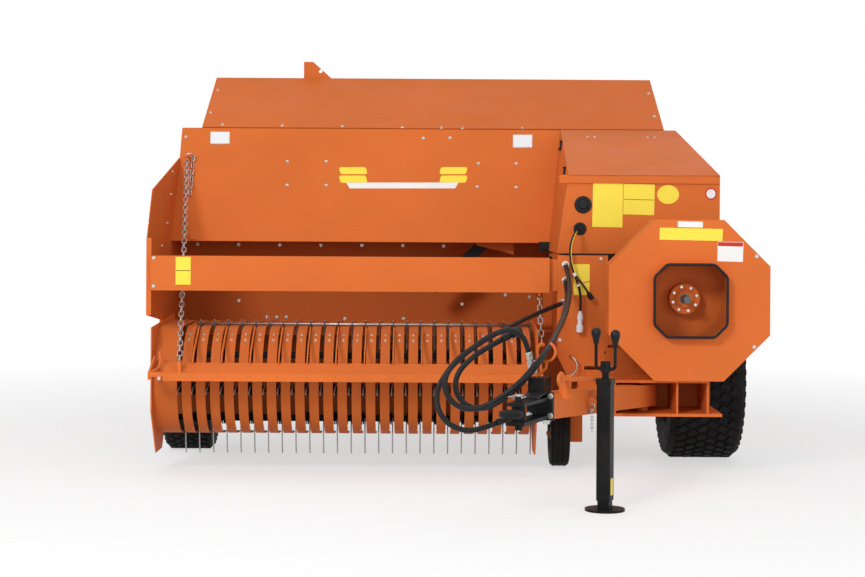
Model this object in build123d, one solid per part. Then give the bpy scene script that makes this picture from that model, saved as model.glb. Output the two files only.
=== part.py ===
from build123d import *
from math import cos, degrees, hypot, radians, sin, tan
import os

# Towed square baler. X runs to the right as seen from the front, Y to the back, Z up, in mm.
# The ground is Z = 0, and Y = 0 is the axis of the pickup reel.

# Sheet metal
SHEET = 4.0
PLATE = 8.0
SEAT = 0.3

# Bale chamber, inside sizes
CHAMBER_X = 890.0
CHAMBER_WIDTH = 460.0
CHAMBER_HEIGHT = 360.0
CHAMBER_FLOOR_Z = 620.0
CHAMBER_FRONT_Y = 300.0
CHAMBER_REAR_Y = 2420.0
FEED_FRONT_Y = 500.0
FEED_REAR_Y = 1050.0
CHAMBER_LEFT_X = CHAMBER_X - CHAMBER_WIDTH / 2
CHAMBER_RIGHT_X = CHAMBER_X + CHAMBER_WIDTH / 2
CHAMBER_ROOF_Z = CHAMBER_FLOOR_Z + CHAMBER_HEIGHT

# Body sheets
BODY_LEFT_X = -1367.0
DECK_FRONT_Y = 476.0
BULKHEAD_Y = 1196.0
PANEL_FOOT = (770.0, 1085.0)
PANEL_HEAD = (1190.0, 1692.0)
HOOD_HALF_WIDTH = 1260.0
HOOD_FRONT = (1200.0, 1700.0)
HOOD_RIDGE = (1860.0, 2016.0)
HOOD_REAR_Y = 2110.0
HOOD_REAR_Z = 1935.0
HOOD_SKIRT_Z = 1300.0
BRACKET_X = (-754.0, -597.0)

# Housing over the gearbox
HOUSING_LEFT_X = 606.0
HOUSING_RIGHT_X = 1395.0
HOUSING_FRONT_Y = 100.0
HOUSING_FOOT_Z = 1046.0
HOUSING_HEAD_Z = 1425.0
HOUSING_BACK_Z = 1690.0
HOUSING_LEAN = 0.139
HOUSING_BACK_RIGHT_X = 1322.0
LOWER_PANEL_Y = -20.0
LOWER_PANEL_X = 600.0
FLANGE_Y = -30.0
FLANGE_WIDTH = 24.0

# Flywheel and its guard
SHAFT_X = 1180.0
SHAFT_Z = 845.0
GUARD_ACROSS = 740.0
GUARD_CORNER = 212.0
GUARD_FACE_Y = -400.0
GUARD_DEPTH = 180.0
GUARD_OPENING = 330.0
GUARD_OPENING_CORNER = 57.0
COLLAR_REACH = 50.0
FLYWHEEL_RADIUS = 295.0
FLYWHEEL_WIDTH = 70.0
FLYWHEEL_FACE_Y = -205.0
SPLINE_DIAMETER = 34.9
SPLINE_LENGTH = 76.0
SPLINE_GROOVE = 3.6

# Pickup
REEL_Z = 402.0
TINE_TIP_RADIUS = 322.0
TINE_COLUMNS = 26
TINE_PITCH = 66.0
TINE_FIRST_X = -1175.0
TINE_THICKNESS = 6.0
REEL_BARS = 4
REEL_BAR_CIRCLE = 150.0
REEL_BAR_RADIUS = 17.0
REEL_SHAFT_RADIUS = 30.0
REEL_JOURNAL_RADIUS = 20.7
COIL_RADIUS = 27.0
BAND_WIDTH = 44.0
BAND_RADIUS = 256.0
BAND_CENTRE_Z = 436.0
BAND_THICKNESS = 3.0
PICKUP_LEFT_X = -1306.0
PICKUP_RIGHT_X = 494.0
PICKUP_PLATE = 6.0
PICKUP_PIVOT = (440.0, 670.0)
PICKUP_PIN_RADIUS = 16.0
BAND_END_Y = 430.0
BAND_ANGLE = 60.0

# Cross bar in front of the panel
BAR_FOOT_Z = 862.0
BAR_HEIGHT = 165.0
BAR_DEPTH = 60.0
BAR_FRONT_Y = -60.0

# Running gear: centre x, centre y, tyre radius, tyre width, rim radius
RIGHT_WHEEL = (1363.0, 580.0, 425.0, 372.0, 216.0)
LEFT_WHEEL = (-1252.0, 800.0, 297.0, 248.0, 152.0)
GAUGE_WHEEL = (627.0, 215.0, 158.0, 96.0, 62.0)
GAUGE_AXLE_RADIUS = 10.0
GAUGE_ARM_TOP_Z = 370.0
AXLE_Y = 690.0
AXLE_SIZE = 120.0

# Drawbar and jack. The drawbar is built along -Y from its pivot, then turned to its heading.
DRAWBAR_SIZE = 100.0
DRAWBAR_WALL = 8.0
DRAWBAR_FOOT_Z = 342.0
DRAWBAR_RISE = 0.06
DRAWBAR_TAIL = 60.0
DRAWBAR_PIVOT = (990.0, -200.0)
DRAWBAR_PIN_RADIUS = 25.0
DRAWBAR_LENGTH = 1414.0
DRAWBAR_HEADING = 23.0
HEAD_FOOT_Z = DRAWBAR_FOOT_Z + DRAWBAR_RISE * DRAWBAR_LENGTH
LOWER_LUG_Z = (HEAD_FOOT_Z + 1, HEAD_FOOT_Z + 16)
UPPER_LUG_Z = (HEAD_FOOT_Z + 76, HEAD_FOOT_Z + 88)
CLEVIS_HALF_WIDTH = 38.0
CLEVIS_ALONG = DRAWBAR_LENGTH + 303
CLEVIS_PIN_ALONG = DRAWBAR_LENGTH + 259
CLEVIS_PIN_RADIUS = 15.0
EYE_ALONG = DRAWBAR_LENGTH + 346
EYE_Z = (LOWER_LUG_Z[1] + UPPER_LUG_Z[0]) / 2 + 5
EYE_HOLE_RADIUS = 21.0
EYE_OUTER_RADIUS = 45.5
EYE_THICKNESS = 27.0
EYE_CHAMFER = 6.0
JACK_ALONG = 953.0
JACK_X = 120.0
JACK_MOUNT_Z = DRAWBAR_FOOT_Z + DRAWBAR_RISE * JACK_ALONG + DRAWBAR_SIZE / 2
JACK_TUBE = 60.0
JACK_WALL = 4.0
JACK_INNER = 50.0
JACK_TUBE_FOOT_Z = 44.0
JACK_TOP_Z = 530.0
JACK_STROKE = 300.0
JACK_FOOT_RADIUS = 84.0
LATCH_X = 75.0
LATCH_FRONT_ALONG = DRAWBAR_LENGTH - 14
LATCH_FRONT_Z = HEAD_FOOT_Z + 158
LATCH_ALONG = DRAWBAR_LENGTH / 2
LATCH_BEND_Z = DRAWBAR_FOOT_Z + 185
LATCH_FOOT_Z = DRAWBAR_FOOT_Z + 58
LATCH_RADIUS = 10.0
HEAD_BOX_TOP_Z = HEAD_FOOT_Z + 162
HOOK_ALONG = DRAWBAR_LENGTH - 57
HOOK_Z = HEAD_BOX_TOP_Z + 99
HOOK_RADIUS = 38.0
HOOK_WIRE_RADIUS = 5.0

# Feeder behind the pickup
PACKER_Y = 930.0
PACKER_RAIL_Z = 1130.0

PARTS = {}


def add(name, shape):
    PARTS[name] = shape


def block(x0, x1, y0, y1, z0, z1):
    """A box between two corners."""
    centre = ((x0 + x1) / 2, (y0 + y1) / 2, (z0 + z1) / 2)
    return Pos(*centre) * Box(x1 - x0, y1 - y0, z1 - z0)


def tube(x0, x1, y0, y1, z0, z1, along, wall=6.0):
    """A square tube between two corners, open at both ends along X, Y or Z."""
    inner = [x0, x1, y0, y1, z0, z1]
    for axis in range(3):
        inset = -1.0 if "XYZ"[axis] == along else wall
        inner[2 * axis] += inset
        inner[2 * axis + 1] -= inset
    return block(x0, x1, y0, y1, z0, z1) - block(*inner)


def side_prism(points, x0, x1):
    """A (y, z) outline carried along X."""
    face = make_face(Polyline(*[(x0, y, z) for y, z in points], close=True))
    return extrude(face, x1 - x0, dir=(1, 0, 0))


def front_prism(points, y0, y1):
    """An (x, z) outline carried along Y."""
    face = make_face(Polyline(*[(x, y0, z) for x, z in points], close=True))
    return extrude(face, y1 - y0, dir=(0, 1, 0))


def plan_prism(points, z0, z1):
    """An (x, y) outline carried along Z."""
    face = make_face(Polyline(*[(x, y, z0) for x, y in points], close=True))
    return extrude(face, z1 - z0, dir=(0, 0, 1))


def rod(start, end, radius):
    """A round bar between two points."""
    line = Vector(*end) - Vector(*start)
    plane = Plane(origin=start, z_dir=line)
    return plane * Cylinder(radius, line.length, align=(Align.CENTER, Align.CENTER, Align.MIN))


def folded(points, thickness):
    """A (y, z) strip of sheet under a line of points, as a closed outline."""
    below = []
    for i, (y, z) in enumerate(points):
        before = points[max(i - 1, 0)]
        after = points[min(i + 1, len(points) - 1)]
        dy, dz = after[0] - before[0], after[1] - before[1]
        length = hypot(dy, dz)
        below.append((y + thickness * dz / length, z - thickness * dy / length))
    return points + below[::-1]


def octagon(centre_x, centre_z, across, corner):
    """The (x, z) corners of a square with its corners cut off."""
    half = across / 2
    flat = half - corner
    signs = [(1, 1), (-1, 1), (-1, -1), (1, -1)]
    points = []
    for i, (sx, sz) in enumerate(signs):
        first = (centre_x + sx * half, centre_z + sz * flat)
        second = (centre_x + sx * flat, centre_z + sz * half)
        points += [first, second] if i % 2 == 0 else [second, first]
    return points


def lid_height(y):
    """Height of the sloped housing lid's underside at a place along Y."""
    slope = (HOUSING_BACK_Z - HOUSING_HEAD_Z) / (PANEL_HEAD[0] - HOUSING_FRONT_Y)
    return HOUSING_HEAD_Z + slope * (y - HOUSING_FRONT_Y)


def panel_right_x(z):
    """The housing's leaning left wall at a height."""
    return HOUSING_LEFT_X + HOUSING_LEAN * (z - HOUSING_FOOT_Z)


# Frame under the chamber and across the axle
RAIL_WIDTH = 60.0
RAIL_HEIGHT = 120.0
RAIL_TOP_Z = CHAMBER_FLOOR_Z - PLATE
RAIL_FRONT_Y = LOWER_PANEL_Y
AXLE_TOP_Z = RAIL_TOP_Z - RAIL_HEIGHT
FRONT_BEAM_Z = 340.0
FRONT_BEAM_LEFT_X = 700.0
GEARBOX_FRONT_Y = -100.0
GEARBOX_REAR_Y = 180.0
GEARBOX_FOOT_Z = SHAFT_Z - 190
BED_RIGHT_X = SHAFT_X + 150
RAIL_X = (CHAMBER_LEFT_X - 2 * PLATE, CHAMBER_RIGHT_X + 2 * PLATE - RAIL_WIDTH)


def main_frame():
    rails = []
    for x in RAIL_X:
        rail_z = (AXLE_TOP_Z, RAIL_TOP_Z)
        rails.append(tube(x, x + RAIL_WIDTH, RAIL_FRONT_Y, CHAMBER_REAR_Y - 300, *rail_z, "Y"))
    frame = rails[0] + rails[1]
    for y in (CHAMBER_FRONT_Y, CHAMBER_REAR_Y - 400):
        frame += tube(RAIL_X[0] + RAIL_WIDTH, RAIL_X[1], y, y + 80, RAIL_TOP_Z - 80, RAIL_TOP_Z, "X")
    front_y = (RAIL_FRONT_Y, RAIL_FRONT_Y + 80)
    frame += block(FRONT_BEAM_LEFT_X, BED_RIGHT_X, *front_y, FRONT_BEAM_Z, AXLE_TOP_Z)
    frame += block(RAIL_X[0], BED_RIGHT_X, RAIL_FRONT_Y, GEARBOX_REAR_Y, RAIL_TOP_Z, GEARBOX_FOOT_Z)
    return frame


add("main_frame", main_frame())

SPINDLE_RADIUS = 30.0
AXLE_LEFT_X = LEFT_WHEEL[0] + LEFT_WHEEL[3] / 2 + 30
AXLE_RIGHT_X = RIGHT_WHEEL[0] - RIGHT_WHEEL[3] / 2 - 25


def axle_beam():
    """Square tube across the machine with a drop plate and a spindle at each end."""
    foot = AXLE_TOP_Z - AXLE_SIZE
    front = AXLE_Y - AXLE_SIZE / 2
    back = AXLE_Y + AXLE_SIZE / 2
    beam = block(AXLE_LEFT_X, AXLE_RIGHT_X, front, back, foot, AXLE_TOP_Z)
    ends = ((LEFT_WHEEL, AXLE_LEFT_X, AXLE_LEFT_X + 24, -1),
            (RIGHT_WHEEL, AXLE_RIGHT_X - 24, AXLE_RIGHT_X, 1))
    for wheel, x0, x1, outward in ends:
        x, y, z = wheel[0], wheel[1], wheel[2]
        near, far = min(front, y - 60), max(back, y + 60)
        beam += block(x0, x1, near, far, z - 60, AXLE_TOP_Z)
        beam += rod(((x0 + x1) / 2, y, z), (x + outward * 20, y, z), SPINDLE_RADIUS)
    return beam


add("axle_beam", axle_beam())


def wheel_parts(name, wheel, disc_side, bore_radius):
    """Tyre and rim with hub, turned about the wheel's axle."""
    x, y, radius, width, rim_radius = wheel
    half = width / 2
    shoulder = radius - 0.16 * (radius - rim_radius)
    bead = rim_radius + 0.5
    outline = [(-half * 0.72, bead), (-half, (radius + rim_radius) / 2), (-half * 0.96, shoulder)]
    outline.append((-half * 0.84, radius))
    outline += [(half * 0.84, radius), (half * 0.96, shoulder), (half, (radius + rim_radius) / 2)]
    outline.append((half * 0.72, bead))
    face = make_face(Polyline(*[(a, 0, r) for a, r in outline], close=True))
    tyre = revolve(face, Axis.X)
    edge = half * 0.72
    lip = rim_radius + 0.25
    dish = disc_side * edge * 0.2
    rim_outline = [(-edge, lip), (-edge, lip - 14), (-edge * 0.6, lip - 40), (edge * 0.6, lip - 40),
                   (edge, lip - 14), (edge, lip)]
    rim_face = make_face(Polyline(*[(a, 0, r) for a, r in rim_outline], close=True))
    rim = revolve(rim_face, Axis.X)
    disc = Pos(dish, 0, 0) * Rot(0, 90, 0) * Cylinder(lip - 38, 10)
    hub = Pos(dish, 0, 0) * Rot(0, 90, 0) * Cylinder(min(58, lip * 0.5), min(120, width))
    bore = Rot(0, 90, 0) * Cylinder(bore_radius + SEAT, 2 * width)
    rim = (rim + disc + hub) - bore
    place = Pos(x, y, radius)
    add(name + "_tyre", place * tyre)
    add(name + "_rim", place * rim)


wheel_parts("right_wheel", RIGHT_WHEEL, -1, SPINDLE_RADIUS)
wheel_parts("left_wheel", LEFT_WHEEL, 1, SPINDLE_RADIUS)
wheel_parts("gauge_wheel", GAUGE_WHEEL, 1, GAUGE_AXLE_RADIUS)


# Needle yoke under the chamber
YOKE_PIVOT_Y = 1800.0
YOKE_PIVOT_Z = CHAMBER_FLOOR_Z + CHAMBER_HEIGHT / 2
NEEDLE_RADIUS = 520.0
YOKE_PIN_RADIUS = 20.0
NEEDLE_X = (CHAMBER_X - 115, CHAMBER_X + 115)
NEEDLE_SLOT_Y = YOKE_PIVOT_Y - NEEDLE_RADIUS * cos(radians(20.7))
NEEDLE_TIP_ANGLE = -24.0
YOKE_BAR_ANGLE = -98.0
YOKE_BAR_RADIUS = 30.0
YOKE_ARM_THICKNESS = 12.0
YOKE_ARM_X = (CHAMBER_LEFT_X - PLATE - 50 - 24, CHAMBER_RIGHT_X + PLATE + 50 + 12)


CHUTE_LENGTH = 620.0
CHUTE_PIVOT = (CHAMBER_REAR_Y + 22, CHAMBER_FLOOR_Z - 18)
CHUTE_PIN_RADIUS = 8.0
CHUTE_LEFT_X = CHAMBER_LEFT_X + 6
CHUTE_RIGHT_X = CHAMBER_RIGHT_X - 6


# Bale chamber with its feed opening in the left wall
def bale_chamber():
    x0, x1 = CHAMBER_LEFT_X, CHAMBER_RIGHT_X
    floor = block(x0 - PLATE, x1 + PLATE, CHAMBER_FRONT_Y, CHAMBER_REAR_Y, RAIL_TOP_Z, CHAMBER_FLOOR_Z)
    roof_z = (CHAMBER_ROOF_Z, CHAMBER_ROOF_Z + PLATE)
    roof = block(x0 - PLATE, x1 + PLATE, CHAMBER_FRONT_Y, CHAMBER_REAR_Y - 700, *roof_z)
    right = block(x1, x1 + PLATE, CHAMBER_FRONT_Y, CHAMBER_REAR_Y, CHAMBER_FLOOR_Z, CHAMBER_ROOF_Z)
    left = block(x0 - PLATE, x0, CHAMBER_FRONT_Y, CHAMBER_REAR_Y, CHAMBER_FLOOR_Z, CHAMBER_ROOF_Z)
    left -= block(x0 - 2 * PLATE, x0 + PLATE, FEED_FRONT_Y, FEED_REAR_Y, CHAMBER_FLOOR_Z, CHAMBER_ROOF_Z - 60)
    chamber = floor + roof + right + left
    for x in NEEDLE_X:
        slot_y = (NEEDLE_SLOT_Y - 40, NEEDLE_SLOT_Y + 40)
        chamber -= block(x - 16, x + 16, *slot_y, RAIL_TOP_Z - 1, roof_z[1] + 1)
    for y in (1120, 1700, 2100):
        chamber += block(x0 - PLATE - 50, x0 - PLATE, y, y + 50, CHAMBER_FLOOR_Z, CHAMBER_ROOF_Z)
        chamber += block(x1 + PLATE, x1 + PLATE + 50, y, y + 50, CHAMBER_FLOOR_Z, CHAMBER_ROOF_Z)
    chamber += rod((CHUTE_LEFT_X, *CHUTE_PIVOT), (CHUTE_RIGHT_X, *CHUTE_PIVOT), CHUTE_PIN_RADIUS)
    ear_z = (CHUTE_PIVOT[1] - 6, RAIL_TOP_Z)
    chamber += block(CHAMBER_X - 40, CHAMBER_X + 40, CHAMBER_REAR_Y - 60, CHUTE_PIVOT[0], *ear_z)
    pivot = (YOKE_PIVOT_Y, YOKE_PIVOT_Z)
    chamber += rod((YOKE_ARM_X[0] - 10, *pivot), (x0 - PLATE, *pivot), YOKE_PIN_RADIUS)
    return chamber + rod((x1 + PLATE, *pivot), (YOKE_ARM_X[1] + 22, *pivot), YOKE_PIN_RADIUS)


add("bale_chamber", bale_chamber())
add("plunger", block(CHAMBER_LEFT_X + 10, CHAMBER_RIGHT_X - 10, CHAMBER_FRONT_Y + 20, CHAMBER_FRONT_Y + 190,
                     CHAMBER_FLOOR_Z + SEAT, CHAMBER_ROOF_Z - 8))


def on_needle_circle(angle, radius=NEEDLE_RADIUS):
    """The (y, z) place at an angle above the front horizontal, seen from the yoke's pivot."""
    a = radians(angle)
    return YOKE_PIVOT_Y - radius * cos(a), YOKE_PIVOT_Z + radius * sin(a)


def needle_yoke():
    """Two arms and a cross tube that carry the two curved needles."""
    bar = on_needle_circle(YOKE_BAR_ANGLE)
    yoke = rod((YOKE_ARM_X[0], *bar), (YOKE_ARM_X[1] + YOKE_ARM_THICKNESS, *bar), YOKE_BAR_RADIUS)
    pivot = (YOKE_PIVOT_Y, YOKE_PIVOT_Z)
    lean = -90 - YOKE_BAR_ANGLE
    for x in YOKE_ARM_X:
        arm = Pos(0, *pivot) * Rot(lean, 0, 0) * block(x, x + YOKE_ARM_THICKNESS, -35, 35, -NEEDLE_RADIUS, 45)
        yoke += arm - rod((x - 5, *pivot), (x + 20, *pivot), YOKE_PIN_RADIUS + SEAT)
    outer, inner = NEEDLE_RADIUS + 20, NEEDLE_RADIUS - 20
    middle = (YOKE_BAR_ANGLE + NEEDLE_TIP_ANGLE) / 2
    tip = on_needle_circle(NEEDLE_TIP_ANGLE + 2)
    for x in NEEDLE_X:
        shoulder = NEEDLE_TIP_ANGLE - 3
        corners = [on_needle_circle(angle, outer) for angle in (YOKE_BAR_ANGLE, middle, shoulder)]
        corners.append(tip)
        corners += [on_needle_circle(angle, inner) for angle in (shoulder, middle, YOKE_BAR_ANGLE)]
        at = [(x - 8, cy, cz) for cy, cz in corners]
        face = make_face([ThreePointArc(at[0], at[1], at[2]), Line(at[2], at[3]), Line(at[3], at[4]),
                          ThreePointArc(at[4], at[5], at[6]), Line(at[6], at[0])])
        yoke += extrude(face, 16, dir=(1, 0, 0))
    return yoke


add("needle_yoke", needle_yoke())


def knotters():
    """Shaft with two knotter discs and frames on the chamber roof."""
    y = NEEDLE_SLOT_Y + 150
    z = CHAMBER_ROOF_Z + 150
    shaft = rod((CHAMBER_LEFT_X - 40, y, z), (CHAMBER_RIGHT_X + 40, y, z), 18)
    for x in NEEDLE_X:
        shaft += rod((x - 50, y, z), (x - 28, y, z), 130)
        shaft += block(x - 20, x + 14, y - 60, y + 60, CHAMBER_ROOF_Z + PLATE, z + 40)
    for x in (CHAMBER_LEFT_X - 40, CHAMBER_RIGHT_X + 28):
        shaft += block(x, x + 12, y - 50, y + 50, CHAMBER_ROOF_Z + PLATE, z + 50)
    foot = CHAMBER_ROOF_Z + PLATE
    shaft += block(CHAMBER_LEFT_X - 40, CHAMBER_RIGHT_X + 40, y - 50, y + 100, foot, foot + PLATE)
    return shaft


add("knotters", knotters())


def tension_rails():
    """Two pressure rails over the open rear of the chamber, with their cross head."""
    start = CHAMBER_REAR_Y - 690
    rails = None
    for x in (CHAMBER_LEFT_X + 60, CHAMBER_RIGHT_X - 160):
        rail = tube(x, x + 100, start, CHAMBER_REAR_Y + 30, CHAMBER_ROOF_Z - 40, CHAMBER_ROOF_Z + 10, "Y")
        rails = rail if rails is None else rails + rail
    rails += block(CHAMBER_LEFT_X + 20, CHAMBER_RIGHT_X - 20, CHAMBER_REAR_Y - 120, CHAMBER_REAR_Y - 50,
                   CHAMBER_ROOF_Z + 10, CHAMBER_ROOF_Z + 70)
    return rails


add("tension_rails", tension_rails())

YOKE_Y = CHAMBER_REAR_Y - 120


def tension_yoke():
    """Side posts and top beam that carry the two tension screws."""
    top = CHAMBER_ROOF_Z + 330
    left, right = CHAMBER_LEFT_X - PLATE, CHAMBER_RIGHT_X + PLATE
    yoke = tube(left - 60, right + 60, YOKE_Y, YOKE_Y + 70, top, top + 60, "X")
    for x in (left - 60, right):
        yoke += tube(x, x + 60, YOKE_Y, YOKE_Y + 70, RAIL_TOP_Z, top, "Z")
    return yoke


add("tension_yoke", tension_yoke())


def tension_screws():
    top = CHAMBER_ROOF_Z + 390
    screws = []
    for x in (CHAMBER_LEFT_X + 110, CHAMBER_RIGHT_X - 110):
        y = YOKE_Y + 35
        spring = rod((x, y, CHAMBER_ROOF_Z + 90), (x, y, top - 60), 32)
        foot = rod((x, y, CHAMBER_ROOF_Z + 70), (x, y, CHAMBER_ROOF_Z + 90), 40)
        head = rod((x, y, top), (x, y, top + 60), 14)
        handle = rod((x - 70, y, top + 60), (x + 70, y, top + 60), 10)
        screws.append(spring + foot)
        screws.append(head + handle)
    return Compound(children=screws)


add("tension_screws", tension_screws())

def bale_chute():
    """Folding chute behind the chamber, hinged at its floor."""
    y0 = CHAMBER_REAR_Y + 30
    z = CHAMBER_FLOOR_Z - SHEET
    x0, x1 = CHUTE_LEFT_X, CHUTE_RIGHT_X
    chute = block(x0, x1, y0, y0 + CHUTE_LENGTH, z, z + SHEET)
    side = [(y0 + 30, z), (y0 + 30, z + 110), (y0 + CHUTE_LENGTH, z + 60), (y0 + CHUTE_LENGTH, z)]
    for x in (x0, x1 - SHEET):
        chute += side_prism(side, x, x + SHEET)
    for lug_x in (x0, x1 - 30):
        chute += rod((lug_x, *CHUTE_PIVOT), (lug_x + 30, *CHUTE_PIVOT), 14)
        chute += block(lug_x, lug_x + 30, CHUTE_PIVOT[0], y0 + 60, CHUTE_PIVOT[1], z)
    return chute - rod((x0 - 10, *CHUTE_PIVOT), (x1 + 10, *CHUTE_PIVOT), CHUTE_PIN_RADIUS + SEAT)


add("bale_chute", bale_chute())

# Gearbox and flywheel
SHAFT_RADIUS = 24.0
SHAFT_DEPTH = 40.0


def gearbox():
    """Plain block for the gearbox, bored for the input shaft."""
    body = block(SHAFT_X - 150, BED_RIGHT_X, GEARBOX_FRONT_Y, GEARBOX_REAR_Y, GEARBOX_FOOT_Z, SHAFT_Z + 170)
    depth = GEARBOX_FRONT_Y + SHAFT_DEPTH + SEAT
    mouth = GEARBOX_FRONT_Y - 10
    return body - rod((SHAFT_X, mouth, SHAFT_Z), (SHAFT_X, depth, SHAFT_Z), SHAFT_RADIUS + SEAT)


add("gearbox", gearbox())


def flywheel():
    """Flywheel with its hub flange, bored for the input shaft."""
    back = FLYWHEEL_FACE_Y + FLYWHEEL_WIDTH
    wheel = rod((SHAFT_X, FLYWHEEL_FACE_Y, SHAFT_Z), (SHAFT_X, back, SHAFT_Z), FLYWHEEL_RADIUS)
    floor = FLYWHEEL_FACE_Y + 25
    dish = rod((SHAFT_X, FLYWHEEL_FACE_Y, SHAFT_Z), (SHAFT_X, floor, SHAFT_Z), FLYWHEEL_RADIUS - 45)
    wheel -= dish
    wheel += rod((SHAFT_X, FLYWHEEL_FACE_Y - 35, SHAFT_Z), (SHAFT_X, FLYWHEEL_FACE_Y + 26, SHAFT_Z), 71)
    return wheel - rod((SHAFT_X, -500, SHAFT_Z), (SHAFT_X, 0, SHAFT_Z), SHAFT_RADIUS)


def input_shaft():
    """Splined input shaft, six splines."""
    nose = FLYWHEEL_FACE_Y - 50
    shaft = rod((SHAFT_X, nose, SHAFT_Z), (SHAFT_X, GEARBOX_FRONT_Y + SHAFT_DEPTH, SHAFT_Z), SHAFT_RADIUS)
    stub = rod((SHAFT_X, nose - SPLINE_LENGTH, SHAFT_Z), (SHAFT_X, nose, SHAFT_Z), SPLINE_DIAMETER / 2)
    for i in range(6):
        a = radians(60 * i)
        reach = SPLINE_DIAMETER / 2
        across = Box(SPLINE_GROOVE, SPLINE_LENGTH, 5)
        slot = Pos(reach * sin(a), 0, reach * cos(a)) * Rot(0, degrees(a), 0) * across
        stub -= Pos(SHAFT_X, nose - SPLINE_LENGTH / 2, SHAFT_Z) * slot
    return shaft + stub


add("flywheel", flywheel())
add("input_shaft", input_shaft())


def flywheel_guard():
    """Octagonal cover with a collared opening for the drive shaft."""
    outer = octagon(SHAFT_X, SHAFT_Z, GUARD_ACROSS, GUARD_CORNER)
    inner = octagon(SHAFT_X, SHAFT_Z, GUARD_ACROSS - 2 * SHEET, GUARD_CORNER)
    hole = octagon(SHAFT_X, SHAFT_Z, GUARD_OPENING, GUARD_OPENING_CORNER)
    neck = octagon(SHAFT_X, SHAFT_Z, GUARD_OPENING + 2 * SHEET, GUARD_OPENING_CORNER)
    back = GUARD_FACE_Y + GUARD_DEPTH
    guard = front_prism(outer, GUARD_FACE_Y, back) - front_prism(inner, GUARD_FACE_Y + SHEET, back)
    guard += front_prism(neck, GUARD_FACE_Y - COLLAR_REACH, GUARD_FACE_Y + SHEET)
    return guard - front_prism(hole, GUARD_FACE_Y - COLLAR_REACH, GUARD_FACE_Y + SHEET)


add("flywheel_guard", flywheel_guard())

CRADLE_FRONT_Y = GUARD_FACE_Y + 40
CRADLE_FLOOR_Z = 308.0
CRADLE_TOP_Z = SHAFT_Z - GUARD_ACROSS / 2
CRADLE_UPRIGHTS = (842.0, 1128.0, 1268.0)
GUARD_SEAT = 12.0


def guard_cradle():
    """Open box of plates below the flywheel that carries the guard."""
    left, right = CRADLE_UPRIGHTS[0], CRADLE_UPRIGHTS[-1] + PLATE
    cradle = block(827, 1339, CRADLE_FRONT_Y, RAIL_FRONT_Y, CRADLE_FLOOR_Z, CRADLE_FLOOR_Z + 13)
    cradle += block(left, right, CRADLE_FRONT_Y, RAIL_FRONT_Y, CRADLE_TOP_Z - GUARD_SEAT, CRADLE_TOP_Z)
    for x in CRADLE_UPRIGHTS:
        cradle += block(x, x + PLATE, CRADLE_FRONT_Y, RAIL_FRONT_Y, CRADLE_FLOOR_Z, CRADLE_TOP_Z)
    return cradle + rod((*DRAWBAR_PIVOT, CRADLE_FLOOR_Z), (*DRAWBAR_PIVOT, CRADLE_TOP_Z), DRAWBAR_PIN_RADIUS)


add("guard_cradle", guard_cradle())


# Body sheets
def front_panel():
    strip = side_prism(folded([PANEL_FOOT, PANEL_HEAD], SHEET), BODY_LEFT_X + SHEET, 760)
    limit = [(BODY_LEFT_X, 1000), (panel_right_x(1000) - SEAT, 1000), (panel_right_x(1750) - SEAT, 1750),
             (BODY_LEFT_X, 1750)]
    return strip & front_prism(limit, 600, 1300)


add("front_panel", front_panel())


def side_sheet():
    """Left wing of the crop space, with a front flange."""
    outline = [(FLANGE_Y, 741), (FLANGE_Y, 1112), (130, 1344), (1100, 1531), (1192, PANEL_HEAD[1]),
               (1192, CHAMBER_FLOOR_Z), (620, CHAMBER_FLOOR_Z), (497, 685)]
    sheet = side_prism(outline, BODY_LEFT_X, BODY_LEFT_X + SHEET)
    sheet += block(BODY_LEFT_X, BODY_LEFT_X + FLANGE_WIDTH, FLANGE_Y - SHEET, FLANGE_Y, 741, 1112)
    y, z = PICKUP_PIVOT
    sheet += block(BODY_LEFT_X, BODY_LEFT_X + 12, y - 40, y + 40, z - 35, z + 60)
    return sheet + rod((BODY_LEFT_X, y, z), (PICKUP_LEFT_X + PICKUP_PLATE + 5, y, z), PICKUP_PIN_RADIUS)


add("side_sheet", side_sheet())


def crop_deck():
    """Platform behind the pickup that leads into the chamber."""
    right = CHAMBER_LEFT_X - PLATE
    under = CHAMBER_FLOOR_Z - SHEET
    deck = block(BODY_LEFT_X + SHEET, right, DECK_FRONT_Y, BULKHEAD_Y, under, CHAMBER_FLOOR_Z)
    for x in (-900, -300, 300):
        deck += tube(x, x + 60, AXLE_Y - 60, BULKHEAD_Y, AXLE_TOP_Z, under, "Y", 5)
    return deck


add("crop_deck", crop_deck())
add("bulkhead", block(BODY_LEFT_X + SHEET, 640, BULKHEAD_Y, BULKHEAD_Y + SHEET,
                      CHAMBER_FLOOR_Z - SHEET, PANEL_HEAD[1] + 2))


def cross_bar():
    """Square bar that ties the left wing to the housing."""
    left, right = BODY_LEFT_X + FLANGE_WIDTH, 560
    back = BAR_FRONT_Y + BAR_DEPTH
    top = BAR_FOOT_Z + BAR_HEIGHT
    bar = block(left, right, BAR_FRONT_Y, back, BAR_FOOT_Z, top)
    bar += block(BODY_LEFT_X + SHEET, left, FLANGE_Y, back, BAR_FOOT_Z + 20, top - 20)
    bar += block(right, LOWER_PANEL_X, LOWER_PANEL_Y - SHEET - 2, LOWER_PANEL_Y, BAR_FOOT_Z + 8, top - 8)
    return bar


add("cross_bar", cross_bar())


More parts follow.
